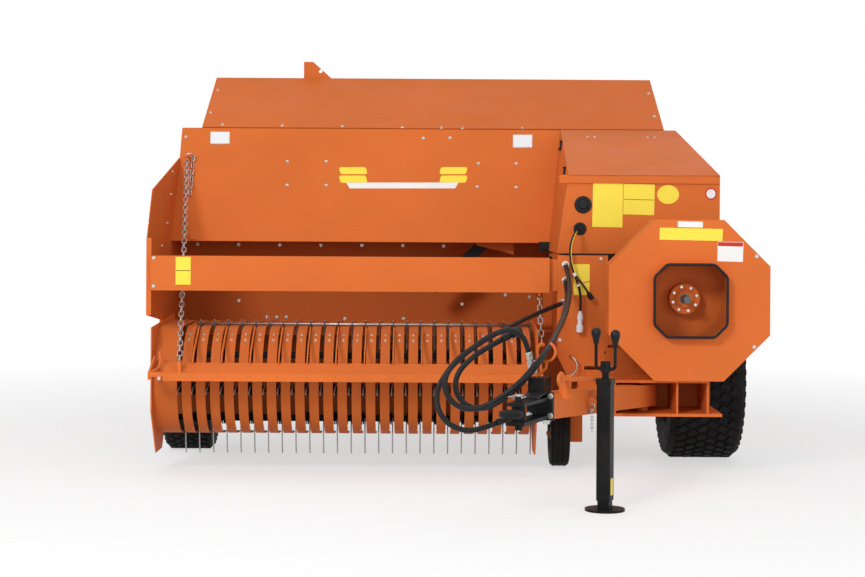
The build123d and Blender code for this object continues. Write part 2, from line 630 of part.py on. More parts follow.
def housing():
    """Folded sheet box over the gearbox, open below and at the back."""
    top = HOUSING_BACK_Z + 60
    back = PANEL_HEAD[0]
    low, high = panel_right_x(HOUSING_FOOT_Z), panel_right_x(top)
    left = front_prism([(low, HOUSING_FOOT_Z), (high, top), (high + SHEET, top),
                        (low + SHEET, HOUSING_FOOT_Z)], HOUSING_FRONT_Y, back)
    front = front_prism([(low, HOUSING_FOOT_Z), (high, top), (HOUSING_RIGHT_X, top),
                         (HOUSING_RIGHT_X, HOUSING_FOOT_Z)], HOUSING_FRONT_Y, HOUSING_FRONT_Y + SHEET)
    right = plan_prism([(HOUSING_RIGHT_X - SHEET, HOUSING_FRONT_Y), (HOUSING_RIGHT_X, HOUSING_FRONT_Y),
                        (HOUSING_BACK_RIGHT_X, back), (HOUSING_BACK_RIGHT_X - SHEET, back)], 900, top)
    near, far = HOUSING_FRONT_Y - 10, back + 10
    above = side_prism([(near, lid_height(near)), (far, lid_height(far)), (far, top + 10), (near, top + 10)],
                       HOUSING_LEFT_X - 100, HOUSING_RIGHT_X + 100)
    return (left + front + right) - above


add("housing", housing())


def housing_lid():
    """Sloped lid with turned-down edges, hinged along its right edge."""
    back = PANEL_HEAD[0]
    y0 = HOUSING_FRONT_Y - 8
    strip = [(y0, lid_height(y0) + SEAT), (back, lid_height(back) + SEAT),
             (back, lid_height(back) + SEAT + SHEET), (y0, lid_height(y0) + SEAT + SHEET)]
    plan = [(panel_right_x(HOUSING_HEAD_Z), y0), (HOUSING_RIGHT_X, y0), (HOUSING_BACK_RIGHT_X, back),
            (panel_right_x(HOUSING_BACK_Z), back)]
    sloped = side_prism(strip, HOUSING_LEFT_X - 100, HOUSING_RIGHT_X + 100)
    return sloped & plan_prism(plan, HOUSING_HEAD_Z - 100, HOUSING_BACK_Z + 100)


add("housing_lid", housing_lid())


def lower_panel():
    """Front sheet below the housing, with the wall that bounds the crop space and the right hinge pin."""
    top = HOUSING_FOOT_Z - 6
    panel = front_prism([(600, 560), (600, top), (842, top), (842, 510), (730, 510), (730, 440), (660, 440)],
                        LOWER_PANEL_Y - SHEET, LOWER_PANEL_Y)
    wall = (HOUSING_LEFT_X, HOUSING_LEFT_X + SHEET)
    panel += block(*wall, LOWER_PANEL_Y, DECK_FRONT_Y, CHAMBER_FLOOR_Z - 60, top)
    pin_x = (PICKUP_RIGHT_X - PICKUP_PLATE - 5, wall[1])
    return panel + rod((pin_x[0], *PICKUP_PIVOT), (pin_x[1], *PICKUP_PIVOT), PICKUP_PIN_RADIUS)


add("lower_panel", lower_panel())


def hood():
    """Cover over the knotters and twine, open below."""
    inner = HOOD_HALF_WIDTH - SHEET
    roof = folded([HOOD_FRONT, HOOD_RIDGE, (HOOD_REAR_Y, HOOD_REAR_Z)], SHEET)
    cover = side_prism(roof, -HOOD_HALF_WIDTH, HOOD_HALF_WIDTH)
    half = HOOD_HALF_WIDTH
    cover += block(-half, half, HOOD_REAR_Y - SHEET, HOOD_REAR_Y, HOOD_SKIRT_Z, HOOD_REAR_Z)
    gable = [HOOD_FRONT, HOOD_RIDGE, (HOOD_REAR_Y, HOOD_REAR_Z), (HOOD_REAR_Y, HOOD_SKIRT_Z),
             (HOOD_FRONT[0], HOOD_SKIRT_Z)]
    cover += side_prism(gable, -HOOD_HALF_WIDTH, -inner)
    cover += side_prism(gable, inner, HOOD_HALF_WIDTH)
    return cover


add("hood", hood())

# Pickup
BAND_FIRST_X = TINE_FIRST_X + TINE_PITCH / 2
BAND_TOP_Z = BAND_CENTRE_Z + BAND_RADIUS


def band_outline(thickness):
    """Outline of a stripper band: flat on top, round in front, down to its tail below."""
    outer, inner = BAND_RADIUS, BAND_RADIUS - thickness
    top_y = BAND_END_Y
    line = [
        Line((0, top_y, BAND_TOP_Z), (0, 0, BAND_TOP_Z)),
        ThreePointArc((0, 0, BAND_TOP_Z), (0, -outer, BAND_CENTRE_Z), (0, 0, BAND_CENTRE_Z - outer)),
        Line((0, 0, BAND_CENTRE_Z - outer), (0, 60, BAND_CENTRE_Z - outer)),
        Line((0, 60, BAND_CENTRE_Z - outer), (0, 60, BAND_CENTRE_Z - inner)),
        Line((0, 60, BAND_CENTRE_Z - inner), (0, 0, BAND_CENTRE_Z - inner)),
        ThreePointArc((0, 0, BAND_CENTRE_Z - inner), (0, -inner, BAND_CENTRE_Z), (0, 0, BAND_CENTRE_Z + inner)),
        Line((0, 0, BAND_CENTRE_Z + inner), (0, top_y, BAND_CENTRE_Z + inner)),
        Line((0, top_y, BAND_CENTRE_Z + inner), (0, top_y, BAND_TOP_Z)),
    ]
    return make_face(line)


def stripper_bands():
    """Curved bands between the tine columns, joined by the angle they are bolted to."""
    face = band_outline(BAND_THICKNESS)
    bands = []
    for i in range(TINE_COLUMNS - 1):
        x = BAND_FIRST_X + i * TINE_PITCH - BAND_WIDTH / 2
        bands.append(Pos(x, 0, 0) * extrude(face, BAND_WIDTH, dir=(1, 0, 0)))
    under = BAND_TOP_Z - BAND_THICKNESS
    left, right = PICKUP_LEFT_X + PICKUP_PLATE, PICKUP_RIGHT_X - PICKUP_PLATE
    front = BAND_END_Y - BAND_ANGLE
    angle = block(left, right, front, front + 6, under - BAND_ANGLE, under)
    angle += block(left, right, front, BAND_END_Y - 20, under - 6, under)
    return angle.fuse(*bands)


def end_drum():
    """Wide curved sheet beside the left end plate."""
    face = band_outline(BAND_THICKNESS)
    left = PICKUP_LEFT_X + PICKUP_PLATE
    right = TINE_FIRST_X - 11
    drum = extrude(face, right - left, dir=(1, 0, 0))
    drum = Pos(left, 0, 0) * drum
    return drum


add("stripper_bands", stripper_bands().fuse(end_drum()))

END_OUTLINE = [(-280, 312), (-280, 699), (470, 720), (470, 640), (390, 540), (330, 380), (60, 97), (-120, 97)]
GUARD_PIVOT = (-262.0, 547.0)
GUARD_PIN_RADIUS = 8.0
GUARD_GAP = 5.0
GUARD_LIP_Z = 502.0
CHAIN_PIN = (-256.0, 628.0)
CHAIN_PIN_RADIUS = 8.0


def guard_pin(x):
    """Pin on an end plate for an arm of the crop guard."""
    return rod((x, *GUARD_PIVOT), (x + GUARD_GAP + 14, *GUARD_PIVOT), GUARD_PIN_RADIUS)


def chain_pin():
    """Pin on the right end plate that the right chain hangs on."""
    return rod((PICKUP_RIGHT_X, *CHAIN_PIN), (PICKUP_RIGHT_X + 32, *CHAIN_PIN), CHAIN_PIN_RADIUS)


def end_plates():
    """Both end plates, bored for the reel and for the hinge pins, with the pins of the crop guard."""
    left_x, right_x = PICKUP_LEFT_X - 50, PICKUP_RIGHT_X + 50
    bores = rod((left_x, 0, REEL_Z), (right_x, 0, REEL_Z), REEL_JOURNAL_RADIUS + SEAT)
    hinge = rod((left_x, *PICKUP_PIVOT), (right_x, *PICKUP_PIVOT), PICKUP_PIN_RADIUS + SEAT)
    left = side_prism(END_OUTLINE, PICKUP_LEFT_X, PICKUP_LEFT_X + PICKUP_PLATE)
    left += guard_pin(PICKUP_LEFT_X + PICKUP_PLATE)
    right = side_prism(END_OUTLINE, PICKUP_RIGHT_X - PICKUP_PLATE, PICKUP_RIGHT_X)
    right += guard_pin(PICKUP_RIGHT_X) + chain_pin()
    return left - bores - hinge, right - bores - hinge


LEFT_END, RIGHT_END = end_plates()
add("pickup_end_left", LEFT_END)
add("pickup_end_right", RIGHT_END)


def reel_core():
    """Shaft with discs that carry the tine bars."""
    left = PICKUP_LEFT_X + PICKUP_PLATE + 6
    right = PICKUP_RIGHT_X - PICKUP_PLATE - 6
    core = rod((left, 0, REEL_Z), (right, 0, REEL_Z), REEL_SHAFT_RADIUS)
    core += rod((PICKUP_LEFT_X - 20, 0, REEL_Z), (PICKUP_RIGHT_X + 20, 0, REEL_Z), REEL_JOURNAL_RADIUS)
    for x in (left + 10, (left + right) / 2, TINE_FIRST_X + (TINE_COLUMNS - 2.5) * TINE_PITCH - 3):
        core += rod((x, 0, REEL_Z), (x + 6, 0, REEL_Z), REEL_BAR_CIRCLE + 30)
    for i in range(REEL_BARS):
        a = radians(360 / REEL_BARS * i)
        y, z = REEL_BAR_CIRCLE * sin(a), REEL_Z + REEL_BAR_CIRCLE * cos(a)
        core -= rod((left - 20, y, z), (right + 20, y, z), REEL_BAR_RADIUS + SEAT)
    return core


add("reel_core", reel_core())


def tine_bars():
    """Bars with their spring tines: a coil and two fingers in each pair of columns."""
    left = PICKUP_LEFT_X + PICKUP_PLATE + 12
    right = PICKUP_RIGHT_X - PICKUP_PLATE - 12
    bar = extrude(RegularPolygon(REEL_BAR_RADIUS, 8), right - left)
    bar = Pos(left, 0, REEL_BAR_CIRCLE) * Rot(0, 90, 0) * bar
    half = TINE_THICKNESS / 2
    root, bend, tip = REEL_BAR_CIRCLE + 8, REEL_BAR_CIRCLE + 90, TINE_TIP_RADIUS
    finger = [(COIL_RADIUS - 8, root), (COIL_RADIUS - 2, bend), (-4, tip), (-4 - TINE_THICKNESS, tip),
              (COIL_RADIUS - 2 - TINE_THICKNESS, bend), (COIL_RADIUS - 8 - TINE_THICKNESS, root)]
    pieces = []
    for i in range(TINE_COLUMNS):
        x = TINE_FIRST_X + i * TINE_PITCH
        pieces.append(side_prism(finger, x - half, x + half))
    coil = Pos(0, 0, REEL_BAR_CIRCLE) * Rot(0, 90, 0) * extrude(RegularPolygon(COIL_RADIUS, 8), 22, both=True)
    for i in range(0, TINE_COLUMNS, 2):
        x = TINE_FIRST_X + (i + 0.5) * TINE_PITCH
        pieces.append(Pos(x, 0, 0) * coil)
        reach = TINE_PITCH / 2 + half
        pieces.append(block(x - reach, x + reach, COIL_RADIUS - 16, COIL_RADIUS - 8, root, root + 8))
    bar = bar.fuse(*pieces)
    bars = []
    for i in range(REEL_BARS):
        turn = 360 / REEL_BARS * i
        bars.append(Pos(0, 0, REEL_Z) * Rot(turn, 0, 0) * bar)
    return Compound(children=bars)


add("tine_bars", tine_bars())


def crop_guard():
    """Bent guard bar in front of the reel on two arms."""
    left, right = -1225.0, 462.0
    lip = GUARD_LIP_Z
    bent = [(-325, 541), (-440, lip), (-440, lip - 36), (-436, lip - 36), (-436, lip - 3), (-325, 537)]
    guard = side_prism(bent, left, right)
    for x0 in (PICKUP_LEFT_X + PICKUP_PLATE + GUARD_GAP, PICKUP_RIGHT_X + GUARD_GAP):
        x1 = x0 + 10
        arm = side_prism([(-436, 470), (-436, 500), (-262, 567), (-242, 547), (-262, 527)], x0, x1)
        edge = left + 30 if x0 < left else right - 30
        arm += block(min(x0, edge), max(x1, edge), -436, -400, 484, 505)
        guard += arm
    bore = GUARD_PIN_RADIUS + SEAT
    return guard - rod((PICKUP_LEFT_X, *GUARD_PIVOT), (PICKUP_RIGHT_X + 50, *GUARD_PIVOT), bore)


add("crop_guard", crop_guard())


def gauge_arm():
    """Arm that carries the gauge wheel on the right end plate."""
    x, y, radius = GAUGE_WHEEL[0], GAUGE_WHEEL[1], GAUGE_WHEEL[2]
    axle = rod((x - 60, y, radius), (x + 70, y, radius), GAUGE_AXLE_RADIUS)
    post = block(x + 56, x + 114, y - 29, y + 29, 120, GAUGE_ARM_TOP_Z)
    tie = block(PICKUP_RIGHT_X, x + 114, y - 29, y + 29, GAUGE_ARM_TOP_Z - 40, GAUGE_ARM_TOP_Z)
    return axle + post + tie


add("gauge_arm", gauge_arm())

# Everything on the drawbar is built along -Y from its pivot and then turned
HEAD = Pos(DRAWBAR_PIVOT[0], DRAWBAR_PIVOT[1], 0) * Rot(0, 0, -DRAWBAR_HEADING)


def drawbar_foot(along):
    """Height of the drawbar's underside at a distance from its pivot."""
    return DRAWBAR_FOOT_Z + DRAWBAR_RISE * along


def drawbar_hull(inset=0.0):
    """The drawbar's square outline carried along its side view."""
    half = DRAWBAR_SIZE / 2 - inset
    ends = (-DRAWBAR_TAIL - inset, DRAWBAR_LENGTH + inset)
    outline = [(-along, drawbar_foot(along) + inset) for along in ends]
    outline += [(-along, drawbar_foot(along) + DRAWBAR_SIZE - inset) for along in ends[::-1]]
    return side_prism(outline, -half, half)


def latch_line(along):
    """Height of the latch rod's axis at a distance from the drawbar's pivot."""
    slope = (LATCH_FRONT_Z - LATCH_BEND_Z) / (LATCH_FRONT_ALONG - LATCH_ALONG)
    return LATCH_BEND_Z + slope * (along - LATCH_ALONG)


def drawbar():
    """Square tube with the jack's stub, the latch's sleeve and its front guide."""
    half = DRAWBAR_SIZE / 2
    jack_line = (-JACK_ALONG, JACK_MOUNT_Z)
    extra = rod((half - DRAWBAR_WALL, *jack_line), (JACK_X - JACK_TUBE / 2, *jack_line), 28)
    sleeve_z = (LATCH_FOOT_Z + 13, LATCH_FOOT_Z + 62)
    extra += rod((LATCH_X, -LATCH_ALONG, sleeve_z[0]), (LATCH_X, -LATCH_ALONG, sleeve_z[1]), 20)
    extra += block(half - DRAWBAR_WALL, LATCH_X, -LATCH_ALONG - 15, -LATCH_ALONG + 15, *sleeve_z)
    guide = LATCH_FRONT_ALONG - 80
    guide_z = (drawbar_foot(guide) + 80, latch_line(guide) + 16)
    extra += block(half - DRAWBAR_WALL, LATCH_X + 16, -guide - 5, -guide + 5, *guide_z)
    bar = drawbar_hull() + extra - drawbar_hull(DRAWBAR_WALL)
    bore = LATCH_RADIUS + SEAT
    bar -= rod((LATCH_X, -LATCH_ALONG, LATCH_FOOT_Z), (LATCH_X, -LATCH_ALONG, LATCH_BEND_Z), bore)
    ahead, behind = guide + 40, guide - 40
    bar -= rod((LATCH_X, -ahead, latch_line(ahead)), (LATCH_X, -behind, latch_line(behind)), bore)
    bar -= rod((0, 0, DRAWBAR_FOOT_Z - 50), (0, 0, DRAWBAR_FOOT_Z + 200), DRAWBAR_PIN_RADIUS + SEAT)
    return HEAD * bar


add("drawbar", drawbar())


def hitch_clevis():
    """Bolted head plate with two lugs and a pin for the towing eye, and the box over it."""
    half = DRAWBAR_SIZE / 2
    y = -DRAWBAR_LENGTH
    foot = drawbar_foot(DRAWBAR_LENGTH)
    head = block(-half - 4, half + 4, y - 20, y, foot - 4, foot + DRAWBAR_SIZE + 6)
    for lug_z in (LOWER_LUG_Z, UPPER_LUG_Z):
        head += block(-CLEVIS_HALF_WIDTH, CLEVIS_HALF_WIDTH, -CLEVIS_ALONG, y - 20, *lug_z)
    pin_z = (LOWER_LUG_Z[0] - 20, UPPER_LUG_Z[1] + 30)
    head += rod((0, -CLEVIS_PIN_ALONG, pin_z[0]), (0, -CLEVIS_PIN_ALONG, pin_z[1]), CLEVIS_PIN_RADIUS)
    box = block(-50, 20, y - 20, y + 60, foot + DRAWBAR_SIZE - 10, HEAD_BOX_TOP_Z)
    return HEAD * (head + (box - drawbar_hull()))


add("hitch_clevis", hitch_clevis())


def tow_eye():
    """Forged towing eye with chamfered rims and its shank between the lugs."""
    inner, outer, cut = EYE_HOLE_RADIUS, EYE_OUTER_RADIUS, EYE_CHAMFER
    half = EYE_THICKNESS / 2
    profile = [(inner, half - cut), (inner + cut, half), (outer - cut, half), (outer, half - cut),
               (outer, cut - half), (outer - cut, -half), (inner + cut, -half), (inner, cut - half)]
    face = make_face(Polyline(*[(r, 0, z) for r, z in profile], close=True))
    ring = Pos(0, -EYE_ALONG, EYE_Z) * revolve(face, Axis.Z)
    pin_line = (0, -CLEVIS_PIN_ALONG)
    boss = rod((*pin_line, LOWER_LUG_Z[1] + SEAT), (*pin_line, UPPER_LUG_Z[0] - SEAT), 28)
    shank = block(-18, 18, -EYE_ALONG + outer - cut, -CLEVIS_PIN_ALONG, EYE_Z - 10, EYE_Z + 10)
    bore = rod((*pin_line, LOWER_LUG_Z[0]), (*pin_line, UPPER_LUG_Z[1]), CLEVIS_PIN_RADIUS + SEAT)
    return HEAD * (ring + boss + shank - bore)


add("tow_eye", tow_eye())


def jack_body():
    """Square outer tube with its crank handle."""
    half = JACK_TUBE / 2
    y = -JACK_ALONG
    outer = block(JACK_X - half, JACK_X + half, y - half, y + half, JACK_TUBE_FOOT_Z, JACK_TOP_Z)
    room = half - JACK_WALL
    outer -= block(JACK_X - room, JACK_X + room, y - room, y + room, JACK_TUBE_FOOT_Z - 1, JACK_TOP_Z - 10)
    cap = block(JACK_X - half - 3, JACK_X + half + 3, y - half - 3, y + half + 3, JACK_TOP_Z, JACK_TOP_Z + 22)
    screw = rod((JACK_X, y, JACK_TOP_Z + 22), (JACK_X, y, JACK_TOP_Z + 50), 15)
    hub = rod((JACK_X, y, JACK_TOP_Z + 49), (JACK_X, y, JACK_TOP_Z + 95), 22)
    handle = block(JACK_X - 46, JACK_X + 46, y - 8, y + 8, JACK_TOP_Z + 56, JACK_TOP_Z + 72)
    for x, top in ((JACK_X - 42, 172), (JACK_X + 42, 165)):
        handle += rod((x, y, JACK_TOP_Z + 60), (x, y, JACK_TOP_Z + top), 7)
        handle += rod((x, y, JACK_TOP_Z + top - 5), (x, y, JACK_TOP_Z + top + 62), 20)
    return HEAD * (outer + cap + screw + hub + handle)


add("jack_body", jack_body())


def jack_leg():
    """Inner leg with its foot plate."""
    half = JACK_INNER / 2
    y = -JACK_ALONG
    leg = block(JACK_X - half, JACK_X + half, y - half, y + half, 10, JACK_TUBE_FOOT_Z + JACK_STROKE + 110)
    return HEAD * (leg + rod((JACK_X, y, 0), (JACK_X, y, 10), JACK_FOOT_RADIUS))


add("jack_leg", jack_leg())


def hose_hook():
    """Open ring on a bent stem over the head of the drawbar."""
    wire = HOOK_WIRE_RADIUS
    middle = (0, -HOOK_ALONG, HOOK_Z)
    ends = ((0, -HOOK_ALONG - wire, HOOK_Z), (0, -HOOK_ALONG + wire, HOOK_Z))
    ring = rod(*ends, HOOK_RADIUS + wire) - rod(*ends, HOOK_RADIUS - wire)
    ring -= block(-16, 16, middle[1] - 10, middle[1] + 10, HOOK_Z + 20, HOOK_Z + 60)
    knee = (0, -HOOK_ALONG, HOOK_Z - HOOK_RADIUS - 28)
    stem = rod((0, -HOOK_ALONG, HOOK_Z - HOOK_RADIUS), (0, -HOOK_ALONG, knee[2] - 2), HOOK_WIRE_RADIUS)
    stem += rod(knee, (-34, -HOOK_ALONG - 25, HEAD_BOX_TOP_Z - 5), HOOK_WIRE_RADIUS)
    floor = block(-80, 80, -HOOK_ALONG - 80, -HOOK_ALONG + 80, HEAD_BOX_TOP_Z - 50, HEAD_BOX_TOP_Z)
    return HEAD * (ring + stem - floor)


add("hose_hook", hose_hook())


def latch_rod():
    """Bent rod with a flag handle whose end drops through a sleeve on the drawbar."""
    front = (LATCH_X, -LATCH_FRONT_ALONG, LATCH_FRONT_Z)
    bend = (LATCH_X, -LATCH_ALONG, LATCH_BEND_Z)
    path = FilletPolyline(front, bend, (*bend[:2], LATCH_FOOT_Z), radius=30)
    latch = sweep(Plane(origin=path @ 0, z_dir=path % 0) * Circle(LATCH_RADIUS), path=path)
    flag = [(0, 22), (30, 30), (62, 16), (68, -6), (54, -26), (22, -26), (0, -10)]
    outline = [(front[1] + 34 - y, LATCH_FRONT_Z + z) for y, z in flag]
    return HEAD * (latch + side_prism(outline, LATCH_X - 4, LATCH_X + 4))


add("latch_rod", latch_rod())


LINK_WIDTH = 27.0
LINK_WIRE = 6.0
CHAIN_TAB = 8.0


def chain(start, end, links):
    """Welded chain between two points, each link a flat ring turned a quarter from the last."""
    pitch = (Vector(*end) - Vector(*start)).length / links
    line = Plane(origin=start, z_dir=Vector(*end) - Vector(*start))
    length = pitch + 2 * LINK_WIRE - 2
    pieces = []
    for i in range(links):
        ring = Box(LINK_WIDTH, LINK_WIRE, length)
        ring -= Box(LINK_WIDTH - 2 * LINK_WIRE, 2 * LINK_WIRE, length - 2 * LINK_WIRE)
        pieces.append(line * Pos(0, 0, (i + 0.5) * pitch) * Rot(0, 0, 90 * (i % 2)) * ring)
    return pieces[0].fuse(*pieces[1:])


# Start, end, number of links
LEFT_CHAIN = ((-1318.0, 1034.0, 1516.0), (-1151.0, -425.0, 556.0), 46)
RIGHT_CHAIN = ((512.0, -30.0, 858.0), (512.0, -256.0, 638.0), 8)


def chain_hook():
    """Lug on the front panel that the left chain hangs from."""
    x, y, z = LEFT_CHAIN[0]
    lug = block(x - CHAIN_TAB, x + CHAIN_TAB, y, y + 80, z - 20, z + 20)
    behind = [PANEL_FOOT, PANEL_HEAD, (1400, PANEL_HEAD[1]), (1400, PANEL_FOOT[1])]
    return lug - side_prism(behind, x - 20, x + 20)


def chain_tab():
    """Lug on the crop guard that the left chain ends at."""
    x, y, z = LEFT_CHAIN[1]
    return block(x - CHAIN_TAB, x + CHAIN_TAB, y - 12, y + 30, GUARD_LIP_Z, z)


def chain_eye():
    """Small eye under the cross bar that the right chain hangs from."""
    x = RIGHT_CHAIN[0][0]
    return block(x - 6, x + 6, BAR_FRONT_Y + 10, BAR_FRONT_Y + 50, BAR_FOOT_Z - 14, BAR_FOOT_Z)


PARTS["front_panel"] += chain_hook()
PARTS["crop_guard"] += chain_tab()
add("chain_left", chain(*LEFT_CHAIN) - chain_hook() - chain_tab())
PARTS["cross_bar"] += chain_eye()
add("chain_right", chain(*RIGHT_CHAIN) - chain_pin() - PARTS["cross_bar"])


def packer():
    """Feeder carriage under the panel with two curved tines."""
    z = PACKER_RAIL_Z
    carriage = block(230, 430, PACKER_Y - 60, PACKER_Y + 60, z - 30, z - SEAT)
    for y in (PACKER_Y - 50, PACKER_Y + 40):
        carriage += front_prism([(230, z - 60), (430, z - 110), (430, z - 30), (230, z - 30)], y, y + 10)
    return carriage


def packer_tines():
    """Black curved tines of the packer."""
    z = PACKER_RAIL_Z - 45
    outline = [(240, z), (330, z), (150, z - 160), (20, z - 270), (-10, z - 262), (60, z - 170)]
    tines = [front_prism(outline, y, y + 14) for y in (PACKER_Y - 39.7, PACKER_Y + 25.7)]
    return Compound(children=tines)


def packer_rail():
    """Beam across the crop space that the packer runs along."""
    rail = tube(BODY_LEFT_X + SHEET, CHAMBER_LEFT_X - PLATE - 40, PACKER_Y - 40, PACKER_Y + 40, PACKER_RAIL_Z,
                PACKER_RAIL_Z + 80, "X")
    rail += block(-700, -640, PACKER_Y + 40, BULKHEAD_Y, PACKER_RAIL_Z, PACKER_RAIL_Z + 80)
    rail += block(200, 260, PACKER_Y + 40, BULKHEAD_Y, PACKER_RAIL_Z, PACKER_RAIL_Z + 80)
    return rail


add("packer_rail", packer_rail())
add("packer_carriage", packer())
add("packer_tines", packer_tines())


def top_bracket():
    """Angled arm on the hood's ridge."""
    y, z = HOOD_RIDGE
    left, right = BRACKET_X
    outline = [(left, z - 6), (left, z + 96), (left + 54, z + 96), (right, z + 4), (right, z - 2)]
    arm = front_prism(outline, y + 20, y + 60)
    under = side_prism([(y - 10, z - 300), HOOD_RIDGE, (HOOD_REAR_Y, HOOD_REAR_Z), (HOOD_REAR_Y, z - 300)],
                       left - 50, right + 50)
    return arm - under


add("top_bracket", top_bracket())


def hose(points, diameter):
    """A free hose: straight runs joined by tangent arcs as large as the runs allow."""
    corners = [Vector(*point) for point in points]
    radii = []
    for a, b, c in zip(corners, corners[1:], corners[2:]):
        turn = radians((b - a).get_angle(c - b))
        shorter = min((b - a).length, (c - b).length)
        radii.append(0.45 * shorter / tan(turn / 2))
    path = FilletPolyline(*corners, radius=radii)
    tube = sweep(Plane(origin=path @ 0, z_dir=path % 0) * Circle(diameter / 2), path=path)
    print("hose radii", [round(r) for r in radii], "length", round(path.length))
    return tube


HOSE_DIAMETER = 22.0
HOSE_ROUTES = {
    "hose_upper": [
        (639, -52, 985), (645, -130, 947), (640, -290, 895), (618, -520, 846), (589, -760, 807),
        (553, -1000, 774), (511, -1240, 739), (469, -1449, 701), (416, -1560, 652), (351, -1595, 580),
        (268, -1605, 514), (186, -1610, 473), (112, -1612, 476), (57, -1610, 525), (49, -1600, 598),
        (96, -1580, 663), (164, -1555, 711), (224, -1530, 753), (288, -1508, 778), (339, -1490, 775),
        (375, -1476, 736), (387, -1469, 688)],
    "hose_middle": [
        (637, -52, 911), (638, -140, 874), (624, -320, 836), (598, -560, 800), (564, -810, 766),
        (522, -1070, 731), (481, -1290, 697), (453, -1449, 677), (405, -1520, 621), (338, -1535, 548),
        (271, -1540, 495), (204, -1543, 465), (136, -1538, 478), (93, -1525, 532), (99, -1507, 602),
        (153, -1487, 660), (218, -1467, 703), (282, -1450, 736)],
    "hose_lower": [
        (618, -52, 810), (554, -160, 794), (438, -380, 760), (321, -680, 726), (211, -980, 691),
        (122, -1230, 647), (57, -1390, 595), (20, -1480, 531), (24, -1515, 463), (61, -1530, 408),
        (127, -1533, 379), (196, -1528, 384), (260, -1520, 410)],
}
FERRULE_RADIUS = 14.0


def hose_end(start, inner, length):
    """A ferrule that continues a hose past its end."""
    away = (Vector(*start) - Vector(*inner)).normalized()
    return rod(start, tuple(Vector(*start) + away * length), FERRULE_RADIUS), Vector(*start) + away * length


def hose_fittings():
    """Banjo fittings on the lower panel that the hoses leave from."""
    fittings = []
    for route in HOSE_ROUTES.values():
        ferrule, back = hose_end(route[0], route[1], 24)
        base = rod((back.X, LOWER_PANEL_Y - SHEET, back.Z), (back.X, back.Y - 8, back.Z), 17)
        panel = block(500, 700, LOWER_PANEL_Y - SHEET, 0, 500, 1100)
        fittings.append((ferrule + base) - panel)
    return Compound(children=fittings)


def hose_couplers():
    """Couplers on the free ends of the hoses."""
    couplers = []
    for route in HOSE_ROUTES.values():
        ferrule, tip = hose_end(route[-1], route[-2], 40)
        away = (tip - Vector(*route[-1])).normalized()
        body = rod(tuple(tip), tuple(tip + away * 50), 19)
        couplers.append(ferrule + body)
    return Compound(children=couplers)


add("hose_fittings", hose_fittings())
add("hose_couplers", hose_couplers())
for name, route in HOSE_ROUTES.items():
    add(name, hose(route, HOSE_DIAMETER))

os.makedirs("parts", exist_ok=True)
BOXES = [shape.bounding_box() for shape in PARTS.values()]
LEAST = [min(tuple(box.min)[i] for box in BOXES) for i in range(3)]
MOST = [max(tuple(box.max)[i] for box in BOXES) for i in range(3)]
ORIGIN = ((LEAST[0] + MOST[0]) / 2, (LEAST[1] + MOST[1]) / 2, LEAST[2])
for name, shape in PARTS.items():
    placed = Pos(-ORIGIN[0], -ORIGIN[1], -ORIGIN[2]) * shape
    export_step(placed, "parts/" + name + ".step")
print("origin", ORIGIN, "size", [b - a for a, b in zip(LEAST, MOST)])
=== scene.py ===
from math import cos, pi, radians, sin

import bmesh
import bpy
from mathutils import Matrix, Vector
from mathutils.bvhtree import BVHTree


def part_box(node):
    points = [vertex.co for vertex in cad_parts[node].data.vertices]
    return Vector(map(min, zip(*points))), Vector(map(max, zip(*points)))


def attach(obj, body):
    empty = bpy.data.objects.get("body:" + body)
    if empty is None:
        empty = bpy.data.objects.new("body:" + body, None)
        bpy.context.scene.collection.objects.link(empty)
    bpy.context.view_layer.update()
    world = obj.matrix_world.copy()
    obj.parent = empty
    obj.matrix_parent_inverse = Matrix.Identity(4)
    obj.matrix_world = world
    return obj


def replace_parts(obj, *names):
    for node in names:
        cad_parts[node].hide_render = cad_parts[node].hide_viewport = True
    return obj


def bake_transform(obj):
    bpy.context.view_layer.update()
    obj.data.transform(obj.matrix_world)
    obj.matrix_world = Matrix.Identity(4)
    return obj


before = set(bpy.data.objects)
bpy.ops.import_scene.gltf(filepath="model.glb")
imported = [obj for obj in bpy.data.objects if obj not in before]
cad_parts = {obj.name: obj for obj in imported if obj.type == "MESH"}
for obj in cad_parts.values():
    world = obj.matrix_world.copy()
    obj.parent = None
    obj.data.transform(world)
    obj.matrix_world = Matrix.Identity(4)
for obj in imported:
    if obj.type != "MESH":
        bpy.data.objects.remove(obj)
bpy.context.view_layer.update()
MM = 0.001
RIGHT = Vector((1.0, 0.0, 0.0))
FRONT = Vector((0.0, -1.0, 0.0))
UP = Vector((0.0, 0.0, 1.0))
SQUARE = ((-1, -1), (1, -1), (1, 1), (-1, 1))

# The machine's own measures, in mm: X to the right seen from the front, Y back from the reel's axis, Z up
SHAFT = (1180.0, 845.0)
FLANGE_FACE_Y = -240.0
FLANGE_BOLT_CIRCLE = 57.0
RIM_FACE_Y = -205.0
GUARD_FACE_Y = -400.0
GUARD_OPENING = 330.0
GUARD_OPENING_CORNER = 57.0
COLLAR_REACH = 50.0
PANEL_FOOT = (770.0, 1085.0)
PANEL_HEAD = (1190.0, 1692.0)
REEL_Z = 402.0
PICKUP_LEFT_X = -1306.0
PICKUP_RIGHT_X = 494.0
PICKUP_PLATE = 6.0
REEL_BARS = 4
REEL_BAR_CIRCLE = 150.0
REEL_BAR_RADIUS = 16.5
REEL_END_GAP = 18.0
TINE_COLUMNS = 26
TINE_PITCH = 66.0
TINE_FIRST_X = -1175.0
BAND_CENTRE_Z = 436.0
BAND_RADIUS = 256.0
GUARD_FINGERS = 12
GUARD_FINGER_OFFSET = 28.5
DRAWBAR_PIVOT = (990.0, -200.0)
DRAWBAR_HEADING = 23.0
DRAWBAR_FOOT_Z = 342.0
DRAWBAR_RISE = 0.06
HEAD_ALONG = 1414.0
